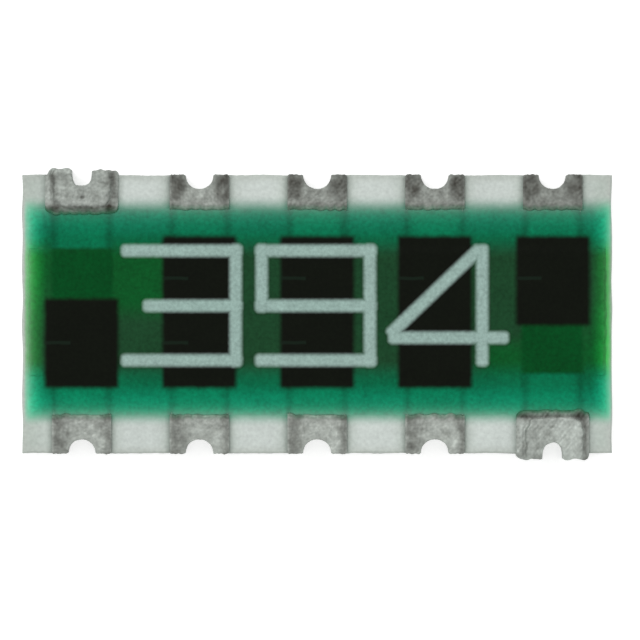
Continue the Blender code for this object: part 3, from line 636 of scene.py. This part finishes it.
    # Lighter along the outermost east edge: less painted shade there
    tarnish_and_shade = tarnish_and_shade - 0.2 * smooth_step(half - 0.00004, half - 0.00001, east)
    tarnish_and_shade = tarnish_and_shade + 0.07 * lumps(across + seed, out, 0.00013, seed + 4)
    tarnish_and_shade = tarnish_and_shade + 0.05 * lumps(across, out, 0.00004, seed + 3)
    to_end = out - end_of_lip(across)
    haze = 0.42 * smooth_step(0.00009, -0.00001, to_end) + 0.45 * smooth_step(0.00004, 0.0, to_end)
    return upper, lower, np.clip(tarnish_and_shade, 0.0, 1.0), haze


def placed(grid, column, row):
    """A terminal's grid at its column: moved along the upper row, or turned half round for the lower row."""
    return grid * np.array([row, row, 1.0]) + np.array([column, 0.0, 0.0])


def stroke_frame(start, end, sizes):
    """First point, direction, length, half width and corner radius of a stroke, with its thin edge added."""
    start, end = np.array(start), np.array(end)
    run = np.linalg.norm(end - start)
    forward = (end - start) / run
    grow = sizes.ink_fade / 2
    half = sizes.stroke_width / 2 + grow
    return start - forward * grow, forward, run + 2 * grow, half, sizes.stroke_corner + grow


def ink_cover(x, y, sizes):
    """Share of ink over the coat: a smooth step of the distance inside the outline of any stroke."""
    cover = np.zeros(x.shape)
    ragged = 0.0000015 * lumps(x, y, 0.00006, 77)
    for start, end in code_strokes():
        origin, forward, run, half, corner = stroke_frame(start, end, sizes)
        along = (x - origin[0]) * forward[0] + (y - origin[1]) * forward[1]
        across = (y - origin[1]) * forward[0] - (x - origin[0]) * forward[1]
        inside = ragged - rounded_reach(along, across, (run / 2, 0.0), (run / 2, half), corner)
        cover = np.maximum(cover, smooth_step(0.0, sizes.ink_fade, inside))
    return cover


def bar(start, end, lift, sizes, seed):
    """Upper and lower grid of one straight stroke of ink: a low dome across, whose half width falls as a
    quarter circle at both ends, lying on the coat."""
    start, forward, run, widest, corner = stroke_frame(start, end, sizes)
    turn = (1.0 - np.cos(np.linspace(0.0, np.pi / 2, 9))) * corner
    along = np.concatenate([turn, np.arange(corner, run - corner, 0.000016)[1:], (run - turn)[::-1]])[:, None]
    from_tip = within(along, 0.0, run)
    gap = np.minimum(from_tip, corner)
    half = widest - corner + np.sqrt(np.maximum(corner**2 - (corner - gap) ** 2, 0.0))
    share = np.sin(np.linspace(-np.pi / 2, np.pi / 2, 15))[None, :]
    wobble = 0.000001 * lumps(along + 0 * share, np.sign(share) + 0 * along, 0.00009, seed) * np.abs(share)
    across = share * half + wobble * np.sign(share)
    x = start[0] + forward[0] * along - forward[1] * across
    y = start[1] + forward[1] * along + forward[0] * across
    dome = (1.0 - np.abs(share) ** 4) ** 0.5
    ends = np.sqrt(np.clip(from_tip / 0.000012, 0.0, 1.0))
    ground = coat_top(x, y, sizes)
    grain = 1.0 + 0.1 * lumps(x, y, 0.00005, seed + 1)
    upper = ground + (sizes.ink_height * grain + lift) * dome * ends
    lower = ground - 0.000003 + 0 * x
    return np.stack([x, y, upper], -1), np.stack([x, y, lower], -1)


def code_strokes():
    """Ends of every stroke of the value code in metres, digit by digit, as centre lines of level, upright and
    slanting bars that meet with a little overlap."""
    top, waist, foot = 0.000684, 0.000090, -0.000497
    left = (-0.002110, -0.000667)
    right = (-0.000878, 0.000570)
    lap = 0.00007
    strokes = []
    for digit in (0, 1):
        strokes.append(((left[digit], top), (right[digit] + lap, top)))
        strokes.append(((left[digit], foot), (right[digit] + lap, foot)))
        strokes.append(((right[digit], foot - lap), (right[digit], top + lap)))
    strokes.append(((left[0] + 0.000235, waist), (right[0] + lap, waist)))
    strokes.append(((left[1], waist), (right[1] + lap, waist)))
    strokes.append(((left[1] + lap, waist - lap), (left[1] + lap, top + lap)))
    strokes.append(((0.001780, -0.000560), (0.001780, 0.000748)))
    strokes.append(((0.000770, -0.000254), (0.002063, -0.000254)))
    strokes.append(((0.000775, -0.000228), (0.001765, 0.000718)))
    return strokes


def code_bodies(sizes):
    """One pair of grids per stroke, each lifted a hair over the last so that crossings have one upper face,
    and the share of ink at every vertex."""
    bodies, cover = [], []
    for index, (start, end) in enumerate(code_strokes()):
        upper, lower = bar(start, end, 0.0000003 * index, sizes, 70 + index)
        bodies.append((upper, lower))
        cover.append(np.tile(ink_cover(upper[..., 0], upper[..., 1], sizes).ravel(), 2))
    return bodies, {"ink_cover": np.concatenate(cover)}


def fill(tree, node, values):
    """Feeds a node's inputs: a link where the value is a socket, otherwise the value itself."""
    for key, value in values.items():
        if isinstance(value, bpy.types.NodeSocket):
            tree.links.new(value, node.inputs[key])
        else:
            node.inputs[key].default_value = value


def add_node(tree, kind, values=None, **settings):
    """Adds a shader node, with settings as its own fields and values on its inputs."""
    node = tree.nodes.new(kind)
    for name, value in settings.items():
        setattr(node, name, value)
    fill(tree, node, values or {})
    return node


def calculate(tree, operation, *values):
    """Output of a Math node."""
    return add_node(tree, "ShaderNodeMath", dict(enumerate(values)), operation=operation).outputs[0]


def calculate_vector(tree, operation, first, second=ORIGIN):
    """Output of a Vector Math node."""
    values = {0: first, "Scale" if operation == "SCALE" else 1: second}
    return add_node(tree, "ShaderNodeVectorMath", values, operation=operation).outputs[0]


def product(tree, first, *others):
    """All the values multiplied."""
    for value in others:
        first = calculate(tree, "MULTIPLY", first, value)
    return first


def most(tree, first, *others):
    """The greatest of all the values."""
    for value in others:
        first = calculate(tree, "MAXIMUM", first, value)
    return first


def in_widths(tree, value, start, width):
    """(value - start) / width."""
    return calculate(tree, "DIVIDE", calculate(tree, "SUBTRACT", value, start), width)


def ramp(tree, value, start, end, low=0.0, high=1.0):
    """Even rise from low to high while a value runs from start to end, level past them."""
    return add_node(tree, "ShaderNodeMapRange", {0: value, 1: start, 2: end, 3: low, 4: high}).outputs[0]


def split(tree, position):
    """The three parts of a position."""
    return add_node(tree, "ShaderNodeSeparateXYZ", {0: position}).outputs


def noise_of(tree, position, scale, detail):
    """Outputs of a noise texture."""
    values = {"Vector": position, "Scale": scale, "Detail": detail}
    return add_node(tree, "ShaderNodeTexNoise", values).outputs


def mark_of(tree, name):
    """A vertex mark of the piece."""
    return add_node(tree, "ShaderNodeAttribute", attribute_name=name).outputs["Fac"]


def seen_by(tree, *kinds):
    """1 for rays of those kinds, otherwise 0."""
    path = add_node(tree, "ShaderNodeLightPath").outputs
    return most(tree, *(path[f"Is {kind} Ray"] for kind in kinds))


def opaque(colour):
    """A colour with alpha 1, or a link as it is."""
    return colour if isinstance(colour, bpy.types.NodeSocket) else (*colour, 1.0)


def blend_colours(tree, share, first, second, method="MIX"):
    """Colour between two colours, or a number by which one multiplies the other."""
    values = {0: share, 6: opaque(first), 7: opaque(second)}
    return add_node(tree, "ShaderNodeMix", values, data_type="RGBA", blend_type=method).outputs[2]


def shade_colour(tree, colour, shade):
    """A colour multiplied by a grain shade."""
    grey = add_node(tree, "ShaderNodeCombineColor", {0: shade, 1: shade, 2: shade}).outputs[0]
    return blend_colours(tree, 1.0, colour, grey, "MULTIPLY")


def bump(tree, height, depth):
    """Normal of a bump of that depth in metres."""
    values = {"Height": height, "Distance": depth, "Strength": 1.0}
    return add_node(tree, "ShaderNodeBump", values).outputs[0]


def new_group(name, inputs, outputs):
    """An empty shader node group and its inner ends. Each named socket takes a number or a vector, as its
    default value is."""
    tree = bpy.data.node_groups.new(name, "ShaderNodeTree")
    for way, sockets in (("INPUT", inputs), ("OUTPUT", outputs)):
        for label, default in sockets.items():
            kind = "NodeSocketFloat" if isinstance(default, float) else "NodeSocketVector"
            tree.interface.new_socket(label, in_out=way, socket_type=kind).default_value = default
    return tree, tree.nodes.new("NodeGroupInput").outputs, tree.nodes.new("NodeGroupOutput").inputs


def soft_rectangle_group():
    """Mask of a rectangle: a smooth step of the distance past each pair of edges, multiplied together."""
    inputs = {"Position": ORIGIN, "Middle": ORIGIN, "Half size": ORIGIN, "Softness": (0.03, 0.03, 1.0)}
    tree, given, result = new_group("Soft rectangle", inputs, {"Mask": 0.0})
    from_middle = calculate_vector(tree, "SUBTRACT", given["Position"], given["Middle"])
    away = calculate_vector(tree, "ABSOLUTE", from_middle)
    soft = calculate_vector(tree, "SCALE", given["Softness"], 0.5)
    outer = calculate_vector(tree, "ADD", given["Half size"], soft)
    inner = calculate_vector(tree, "SUBTRACT", given["Half size"], soft)
    step = add_node(
        tree,
        "ShaderNodeMapRange",
        {"Vector": away, 7: outer, 8: inner},
        data_type="FLOAT_VECTOR",
        interpolation_type="SMOOTHSTEP",
    )
    share = split(tree, step.outputs[1])
    tree.links.new(product(tree, share[0], share[1]), result["Mask"])
    return tree


def wander_group():
    """Moves a position by noise, so that a printed or fired edge isn't ruled."""
    inputs = {"Position": ORIGIN, "Amount": 0.01, "Scale": 12.0}
    tree, given, result = new_group("Wandering edge", inputs, {"Position": ORIGIN})
    noise = noise_of(tree, given["Position"], given["Scale"], 3.0)
    centred = calculate_vector(tree, "SUBTRACT", noise["Color"], (0.5, 0.5, 0.5))
    sized = calculate_vector(tree, "SCALE", centred, given["Amount"])
    tree.links.new(calculate_vector(tree, "ADD", given["Position"], sized), result["Position"])
    return tree


def grain_group():
    """Coarse and fine noise about 1, for colour, and the fine noise alone, for a bump's height."""
    scales = {"Coarse scale": 6.0, "Fine scale": 40.0}
    amounts = {"Coarse amount": 0.1, "Fine amount": 0.1}
    inputs = {"Position": ORIGIN, **scales, **amounts}
    tree, given, result = new_group("Grain", inputs, {"Shade": 1.0, "Height": 0.5})
    parts = []
    for size, detail in (("Coarse", 3.0), ("Fine", 4.0)):
        height = noise_of(tree, given["Position"], given[f"{size} scale"], detail)[0]
        centred = calculate(tree, "MULTIPLY_ADD", height, 2.0, -1.0)
        parts.append(product(tree, centred, given[f"{size} amount"]))
    shade = calculate(tree, "ADD", calculate(tree, "ADD", parts[0], parts[1]), 1.0)
    tree.links.new(shade, result["Shade"])
    tree.links.new(height, result["Height"])
    return tree


def shared_group(name):
    """The shared node group of that name, built on first use."""
    makers = {"Soft rectangle": soft_rectangle_group, "Wandering edge": wander_group, "Grain": grain_group}
    return bpy.data.node_groups.get(name) or makers[name]()


def use_group(tree, name, values):
    """Places a shared node group in a tree."""
    return add_node(tree, "ShaderNodeGroup", values, node_tree=shared_group(name)).outputs


def rectangle(tree, position, corners, softness):
    """Mask of a rectangle given by its lower left and upper right corner in millimetres."""
    (left, low), (right, high) = corners
    values = {
        "Position": position,
        "Middle": ((left + right) / 2, (low + high) / 2, 0.0),
        "Half size": ((right - left) / 2, (high - low) / 2, 1.0),
        "Softness": (softness[0], softness[1], 1.0),
    }
    return use_group(tree, "Soft rectangle", values)["Mask"]


def rectangles(tree, position, places, softness):
    """Mask of several rectangles together."""
    return most(tree, *(rectangle(tree, position, corners, softness) for corners in places))


def grain_of(tree, position, scales, amounts):
    """Shade and height of a coarse and a fine grain, each with its scale and its amount."""
    values = {
        "Position": position,
        "Coarse scale": scales[0],
        "Fine scale": scales[1],
        "Coarse amount": amounts[0],
        "Fine amount": amounts[1],
    }
    return use_group(tree, "Grain", values)


def printed_place(tree, position):
    """Position that strays a little, for everything printed on the chip."""
    values = {"Position": position, "Amount": 0.022, "Scale": 9.0}
    return use_group(tree, "Wandering edge", values)["Position"]


def place_in_column(tree, along, up, pitch):
    """Place measured from the middle of the nearest column of terminals."""
    near = calculate(tree, "WRAP", along, pitch / 2, -pitch / 2)
    return add_node(tree, "ShaderNodeCombineXYZ", {0: near, 1: up}).outputs[0]


def empty_tree(owner):
    """The cleared node tree of a material or a world."""
    owner.use_nodes = True
    owner.node_tree.nodes.clear()
    return owner.node_tree


def new_material(name):
    """An empty material with a principled shader, and its surface position in millimetres."""
    material = bpy.data.materials.new(name)
    tree = empty_tree(material)
    shader = add_node(tree, "ShaderNodeBsdfPrincipled")
    add_node(tree, "ShaderNodeOutputMaterial", {"Surface": shader.outputs[0]})
    place = add_node(tree, "ShaderNodeTexCoord").outputs["Object"]
    return material, tree, shader, calculate_vector(tree, "SCALE", place, TO_MILLIMETRES)


def in_millimetres(corners, grow=0.0):
    """Corners in millimetres, grown by a margin in millimetres."""
    (left, low), (right, high) = corners
    scale = TO_MILLIMETRES
    return (left * scale - grow, low * scale - grow), (right * scale + grow, high * scale + grow)


def coat_cover_and_painted_halo(tree, position):
    """Share of green over the ceramic, 1 - exp(-thickness): the coat thins out evenly towards the chip's two
    ends, and towards its long edges with a smooth foot (smooth maximum with 0). A little past the coat's edge
    the share is painted green light on the bare ceramic, for light that spreads from the coat through it."""
    (left, low), (right, high) = in_millimetres(corners_of(COAT_BOX))
    parts = split(tree, position)
    from_left = in_widths(tree, parts[0], left - 0.043, -0.036)
    from_right = in_widths(tree, parts[0], right + 0.062, 0.027)
    from_low = in_widths(tree, parts[1], low - 0.048, 0.042)
    from_high = in_widths(tree, parts[1], high + 0.064, -0.045)
    thick = calculate(tree, "SMOOTH_MAX", calculate(tree, "MINIMUM", from_low, from_high), 0.0, 2.5)
    bare_end = calculate(tree, "EXPONENT", most(tree, from_left, from_right))
    bare_end = calculate(tree, "MINIMUM", bare_end, 1.0)
    bare_side = calculate(tree, "EXPONENT", product(tree, thick, -1.0))
    covered_end = calculate(tree, "SUBTRACT", 1.0, bare_end)
    covered_side = calculate(tree, "SUBTRACT", 1.0, bare_side)
    return product(tree, covered_end, covered_side)


def outer_coat_colour(tree, position, colours):
    """Green over bare ceramic: darker inwards, one tint per long edge, brighter at both ends. Also the mask
    of the ends."""
    parts = split(tree, position)
    to_low = ramp(tree, parts[1], -0.75, -1.04)
    to_high = ramp(tree, parts[1], 0.82, 1.08)
    outer = blend_colours(tree, to_low, colours.coat_inner, colours.coat_lower)
    outer = blend_colours(tree, to_high, outer, colours.coat_upper)
    away = calculate(tree, "ABSOLUTE", calculate(tree, "SUBTRACT", parts[0], 0.015))
    end = calculate(tree, "POWER", ramp(tree, away, 2.92, 3.2), 1.5)
    return blend_colours(tree, end, outer, colours.coat_corner), end


def band_end_colour(tree, position, colours):
    """Green of the inner band at the chip's two ends, painted brighter beside a track than beside a resistor:
    painted light, for light that spreads through the ceramic and is lost under the black films. Also the mask
    of the tracks' side."""
    parts = split(tree, position)
    by_track = ramp(tree, product(tree, parts[0], parts[1]), 0.6, -1.2)
    return blend_colours(tree, by_track, colours.band_end, colours.band_bright), by_track


def soft_band_mask(tree, position):
    """Mask of the inner band where no silver lies beneath: it fades out over its long edges."""
    return rectangle(tree, position, BAND_ON_CERAMIC, (0.05, 0.28))


def ceramic_material(colours):
    """Fired alumina: fine grain, darker towards both ends and along its snapped rim, painted shade near and
    beside the terminals, and painted green light that spreads from the coat through the ceramic and fades out
    beside it."""
    material, tree, shader, position = new_material("alumina")
    grain = grain_of(tree, position, (1.6, 26.0), (0.14, 0.2))
    parts = split(tree, position)
    column = place_in_column(tree, parts[0], parts[1], PITCH * TO_MILLIMETRES)

    middle = rectangle(tree, position, PALE_MIDDLE, (0.3, 0.1))
    base = blend_colours(tree, middle, colours.ceramic_darker_end_and_shade, colours.ceramic)
    # Painted shade: the ceramic is darker near each terminal
    near = rectangle(tree, column, SHADE_NEAR_TERMINAL, (0.2, 0.1))
    base = blend_colours(tree, product(tree, near, 0.8), base, colours.ceramic_darker_end_and_shade)
    inside = rectangle(tree, position, in_millimetres(corners_of(CERAMIC_BOX), -0.05), (0.12, 0.12))
    base = blend_colours(tree, inside, colours.ceramic_rim, base)

    on_top = calculate(tree, "GREATER_THAN", parts[2], CERAMIC_BOX[1].z * TO_MILLIMETRES - 0.03)
    # Painted shade right beside each terminal, wider beside the two heavy ones
    beside = rectangle(tree, column, SHADE_BESIDE_TERMINAL, (0.1, 0.1))
    beside_heavy = rectangles(tree, position, SHADE_BESIDE_HEAVY, (0.14, 0.1))
    shade = most(tree, beside, product(tree, beside_heavy, 0.8))
    base = blend_colours(tree, product(tree, shade, on_top, 0.85), base, colours.ceramic_painted_shade)
    base = shade_colour(tree, base, grain["Shade"])

    place = printed_place(tree, position)
    # Painted green light: past the coat's edge the coat's green lies on the bare ceramic, for light that
    # spreads from the coat through it
    cover = product(tree, coat_cover_and_painted_halo(tree, place), on_top)
    outer = outer_coat_colour(tree, place, colours)[0]
    inner = band_end_colour(tree, place, colours)[0]
    green = blend_colours(tree, soft_band_mask(tree, place), outer, inner)
    values = {
        "Base Color": blend_colours(tree, cover, base, green),
        "Roughness": 0.65,
        "Specular IOR Level": 0.3,
        "Normal": bump(tree, grain["Height"], 0.000002),
    }
    fill(tree, shader, values)
    return material


def coat_colour(tree, position, sizes, colours):
    """Green coat with what shows through it: silver pads and tracks, the inner glass, resistor films and
    trim cuts, painted in the order in which they are fired, and a pale fade at its printed edge. Also its
    grain."""
    parts = split(tree, position)
    along, up = parts[0], parts[1]
    pitch = sizes.pitch * TO_MILLIMETRES
    column = place_in_column(tree, along, up, pitch)
    folded = place_in_column(tree, along, calculate(tree, "ABSOLUTE", up), pitch)

    outer, end = outer_coat_colour(tree, position, colours)
    wide = rectangle(tree, folded, PAD_WITH_SHADED_EDGE, (0.09, 0.02))
    pad = rectangle(tree, folded, PAD_SEEN, (0.11, 0.02))
    # Painted shade along each pad's edge, seen through the coat
    border = calculate(tree, "SUBTRACT", wide, pad)
    outer = blend_colours(tree, product(tree, pad, 0.3), outer, colours.coat_on_silver)
    outer = blend_colours(tree, product(tree, border, 0.38), outer, PAD_EDGE_PAINTED_SHADE)

    # Painted shade and light of the inner band: darker between the black films in the middle, brighter beside
    # the tracks and at the ends
    sides = rectangles(tree, position, (BESIDE_LEFT_TRACK, BESIDE_RIGHT_TRACK), (0.3, 0.3))
    band_end, by_track = band_end_colour(tree, position, colours)
    past_tracks = ramp(tree, calculate(tree, "ABSOLUTE", along), 2.6, 2.9)
    sides = most(tree, sides, product(tree, by_track, past_tracks))
    band = blend_colours(tree, sides, colours.band_middle, colours.band_side)
    band = blend_colours(tree, end, band, band_end)
    tracks = rectangles(tree, position, (LEFT_TRACK, RIGHT_TRACK), (0.07, 0.05))
    band = blend_colours(tree, tracks, band, colours.band_on_track)
    on_ceramic = soft_band_mask(tree, position)
    on_silver = rectangle(tree, position, BAND_ON_SILVER, (0.05, 0.06))
    masks = {0: wide, 2: on_ceramic, 3: on_silver}
    in_band = add_node(tree, "ShaderNodeMix", masks, data_type="FLOAT").outputs[0]
    colour = blend_colours(tree, in_band, outer, band)

    grain = grain_of(tree, position, (3.0, 26.0), (0.2, 0.42))
    colour = shade_colour(tree, colour, grain["Shade"])

    places = [in_millimetres(corners_of(box), 0.008) for box in RESISTOR_BOXES]
    long_films = rectangle(tree, column, places[2], (0.075, 0.075))
    inner_columns = rectangle(tree, position, LONG_FILM_COLUMNS, (0.01, 0.01))
    short_films = rectangles(tree, position, (places[0], places[4]), (0.075, 0.075))
    films = most(tree, product(tree, long_films, inner_columns), short_films)
    cuts = product(tree, rectangles(tree, column, (LOWER_CUT, UPPER_CUT), (0.02, 0.02)), films)
    colour = blend_colours(tree, films, colour, shade_colour(tree, colours.resistor, grain["Shade"]))
    colour = blend_colours(tree, product(tree, cuts, 0.7), colour, colours.trim_cut)

    return blend_colours(tree, coat_cover_and_painted_halo(tree, position), colours.ceramic, colour), grain


def coat_material(sizes, colours):
    """Satin green coat."""
    material, tree, shader, position = new_material("green_coat")
    colour, grain = coat_colour(tree, printed_place(tree, position), sizes, colours)
    values = {
        "Base Color": colour,
        "Roughness": 0.32,
        "Specular IOR Level": 0.05,
        "Normal": bump(tree, grain["Height"], 0.0000006),
    }
    fill(tree, shader, values)
    return material


def tin_material(colours, name, clean):
    """Plated tin: a grainy metal that its tarnish_and_shade mark darkens, with tarnishing and with painted
    shade, and its haze mark tints green.
    """
    material, tree, shader, position = new_material(name)
    grain = grain_of(tree, position, (8.0, 26.0), (0.22, 0.36))
    tarnish_and_shade = mark_of(tree, "tarnish_and_shade")
    colour = blend_colours(tree, tarnish_and_shade, clean, colours.tin_tarnish_and_shade)
    colour = blend_colours(tree, mark_of(tree, "haze"), colour, colours.haze)
    values = {
        "Base Color": shade_colour(tree, colour, grain["Shade"]),
        "Metallic": 0.9,
        "Roughness": ramp(tree, tarnish_and_shade, 0.0, 1.0, 0.5, 0.75),
        "Normal": bump(tree, grain["Height"], 0.000002),
    }
    fill(tree, shader, values)
    return material


def film_material(name, colour, metal, rough, depth):
    """A fired film under the coat: its colour with coarse and fine grain."""
    material, tree, shader, position = new_material(name)
    grain = grain_of(tree, position, (5.0, 30.0), (0.1, 0.2))
    values = {
        "Base Color": shade_colour(tree, colour, grain["Shade"]),
        "Metallic": metal,
        "Roughness": rough,
        "Normal": bump(tree, grain["Height"], depth),
    }
    fill(tree, shader, values)
    return material


def ink_material(sizes, colours):
    """Matt pale ink, whose thin edge lets the coat's colours through."""
    material, tree, shader, position = new_material("code_ink")
    under = coat_colour(tree, printed_place(tree, position), sizes, colours)[0]
    grain = grain_of(tree, position, (7.0, 28.0), (0.2, 0.3))
    ink = shade_colour(tree, colours.ink, grain["Shade"])
    values = {
        "Base Color": blend_colours(tree, mark_of(tree, "ink_cover"), under, ink),
        "Roughness": 0.7,
        "Specular IOR Level": 0.2,
        "Normal": bump(tree, grain["Height"], 0.000001),
    }
    fill(tree, shader, values)
    return material


def set_finish(nodes, material):
    """Gives shown CAD nodes a procedural finish."""
    for name in nodes:
        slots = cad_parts[name].data.materials
        slots.clear()
        slots.append(material)


class NETWORK_OT_ceramic(bpy.types.Operator):
    """Make the alumina chip with its castellated, snapped edges"""

    bl_idname = "network.ceramic"
    bl_label = "Ceramic chip"

    def execute(self, context):
        scene = context.scene
        body = ceramic_body(scene.network_sizes)
        material = ceramic_material(scene.network_colours)
        make_piece("ceramic_chip", [body], material, ["substrate"], crease=30.0)
        return {"FINISHED"}


class NETWORK_OT_films(bpy.types.Operator):
    """Give the silver, resistor and glass films under the coat their finish"""

    bl_idname = "network.films"
    bl_label = "Inner films"

    def execute(self, context):
        colours = context.scene.network_colours
        names = sorted(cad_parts)
        silver = [name for name in names if name.startswith("electrode")] + ["common_conductor"]
        set_finish(silver, film_material("fired_silver", colours.silver, 0.9, 0.45, 0.000001))
        resistors = [name for name in names if name.startswith("resistor_film")]
        set_finish(resistors, film_material("resistor_ink", colours.resistor, 0.0, 0.5, 0.000001))
        set_finish(["glass_glaze"], film_material("inner_glass", colours.glass, 0.0, 0.2, 0.0000005))
        return {"FINISHED"}


class NETWORK_OT_terminals(bpy.types.Operator):
    """Make the ten plated terminals, eight plain and two heavy"""

    bl_idname = "network.terminals"
    bl_label = "Terminals"

    def execute(self, context):
        sizes, colours = context.scene.network_sizes, context.scene.network_colours
        plain = tin_material(colours, "plain_tin", colours.tin_plain)
        heavy = tin_material(colours, "heavy_tin", colours.tin_bright)
        for number in range(1, 11):
            heavy_one = number in HEAVY_TERMINALS
            column, row = terminal_place(number, sizes.pitch)
            build = heavy_terminal if heavy_one else plain_terminal
            upper, lower, tarnish_and_shade, haze = build(sizes, number)
            pair = (placed(upper, column, row), placed(lower, column, row))
            marks = {"tarnish_and_shade": np.tile(tarnish_and_shade.ravel(), 2), "haze": np.tile(haze.ravel(), 2)}
            stands_for = [f"terminal_{number}", f"nickel_barrier_{number}"]
            finish = heavy if heavy_one else plain
            make_piece(f"plated_terminal_{number}", [pair], finish, stands_for, marks, 50.0)
        return {"FINISHED"}


class NETWORK_OT_coat(bpy.types.Operator):
    """Make the green protective coat"""

    bl_idname = "network.coat"
    bl_label = "Green coat"

    def execute(self, context):
        sizes, colours = context.scene.network_sizes, context.scene.network_colours
        material = coat_material(sizes, colours)
        make_piece("green_coat_film", [coat_body(sizes)], material, ["overcoat"])
        return {"FINISHED"}


class NETWORK_OT_code(bpy.types.Operator):
    """Make the printed value code"""

    bl_idname = "network.code"
    bl_label = "Value code"

    def execute(self, context):
        sizes, colours = context.scene.network_sizes, context.scene.network_colours
        bodies, marks = code_bodies(sizes)
        make_piece("value_code", bodies, ink_material(sizes, colours), [], marks)
        return {"FINISHED"}


class NETWORK_OT_stage(bpy.types.Operator):
    """Make the floor, the light and the camera straight above the chip"""

    bl_idname = "network.stage"
    bl_label = "Stage"

    def execute(self, context):
        scene = context.scene
        scene.view_settings.view_transform = "Standard"
        make_floor(scene)
        make_light(scene)
        make_camera(scene)
        return {"FINISHED"}


def make_floor(scene):
    """White floor just under the lands, with a little glow of its own where the camera or a gloss sees it."""
    half, level = 0.06, -0.000004
    mesh = bpy.data.meshes.new("floor")
    corners = [(-half, -half, level), (half, -half, level), (half, half, level), (-half, half, level)]
    mesh.from_pydata(corners, [], [(0, 1, 2, 3)])
    floor = bpy.data.objects.new("floor", mesh)
    scene.collection.objects.link(floor)
    material = bpy.data.materials.new("floor_white")
    tree = empty_tree(material)
    strength = product(tree, seen_by(tree, "Camera", "Glossy"), 0.55)
    lit = add_node(tree, "ShaderNodeBsdfDiffuse", {"Color": (0.8, 0.8, 0.8, 1.0)})
    glow = add_node(tree, "ShaderNodeEmission", {"Color": (1.0, 1.0, 1.0, 1.0), "Strength": strength})
    both = add_node(tree, "ShaderNodeAddShader", {0: lit.outputs[0], 1: glow.outputs[0]})
    add_node(tree, "ShaderNodeOutputMaterial", {"Surface": both.outputs[0]})
    mesh.materials.append(material)


def make_light(scene):
    """Even white surroundings and one soft lamp from the upper left."""
    world = bpy.data.worlds.new("white_room")
    scene.world = world
    tree = empty_tree(world)
    strength = ramp(tree, seen_by(tree, "Camera", "Glossy", "Transmission"), 0.0, 1.0, 0.8, 1.0)
    back = add_node(tree, "ShaderNodeBackground", {"Color": (1.0, 1.0, 1.0, 1.0), "Strength": strength})
    add_node(tree, "ShaderNodeOutputWorld", {"Surface": back.outputs[0]})
    lamp = bpy.data.lights.new("soft_lamp", "SUN")
    lamp.energy = 0.75
    lamp.angle = np.radians(25.0)
    sun = bpy.data.objects.new("soft_lamp", lamp)
    sun.rotation_euler = (np.radians(-28.0), np.radians(-24.0), 0.0)
    scene.collection.objects.link(sun)


def make_camera(scene):
    """Long lens straight above the chip, so that the picture is 6.9 mm wide at the coat."""
    data = bpy.data.cameras.new("camera")
    data.lens = 500.0
    data.sensor_width = 36.0
    picture_width = 0.0069
    coat_height = 0.0005
    distance = picture_width * data.lens / data.sensor_width
    data.clip_start = 0.001
    data.clip_end = 1.0
    camera = bpy.data.objects.new("camera", data)
    camera.location = (0.000031, -0.000063, coat_height + distance)
    scene.collection.objects.link(camera)
    scene.camera = camera


class NETWORK_PT_panel(bpy.types.Panel):
    """Sizes, colours and pieces of the chip resistor network"""

    bl_idname = "NETWORK_PT_panel"
    bl_label = "Resistor network"
    bl_space_type = "VIEW_3D"
    bl_region_type = "UI"
    bl_category = "Resistor network"

    def draw(self, context):
        for group in (context.scene.network_sizes, context.scene.network_colours):
            box = self.layout.box()
            for name in group.__annotations__:
                box.prop(group, name)
        for operator in OPERATORS:
            self.layout.operator(operator.bl_idname)


OPERATORS = (
    NETWORK_OT_ceramic,
    NETWORK_OT_films,
    NETWORK_OT_terminals,
    NETWORK_OT_coat,
    NETWORK_OT_code,
    NETWORK_OT_stage,
)
CLASSES = (NetworkSizes, NetworkColours, *OPERATORS, NETWORK_PT_panel)


def register():
    """Registers the classes and their settings."""
    for item in CLASSES:
        bpy.utils.register_class(item)
    bpy.types.Scene.network_sizes = bpy.props.PointerProperty(type=NetworkSizes)
    bpy.types.Scene.network_colours = bpy.props.PointerProperty(type=NetworkColours)


def unregister():
    """Removes the classes and their settings."""
    del bpy.types.Scene.network_sizes
    del bpy.types.Scene.network_colours
    for item in reversed(CLASSES):
        bpy.utils.unregister_class(item)


def main():
    register()
    group = bpy.data.collections.new(PIECE_COLLECTION)
    bpy.context.scene.collection.children.link(group)
    bpy.ops.network.ceramic()
    bpy.ops.network.films()
    bpy.ops.network.terminals()
    bpy.ops.network.coat()
    bpy.ops.network.code()
    bpy.ops.network.stage()


if __name__ == "__main__":
    main()
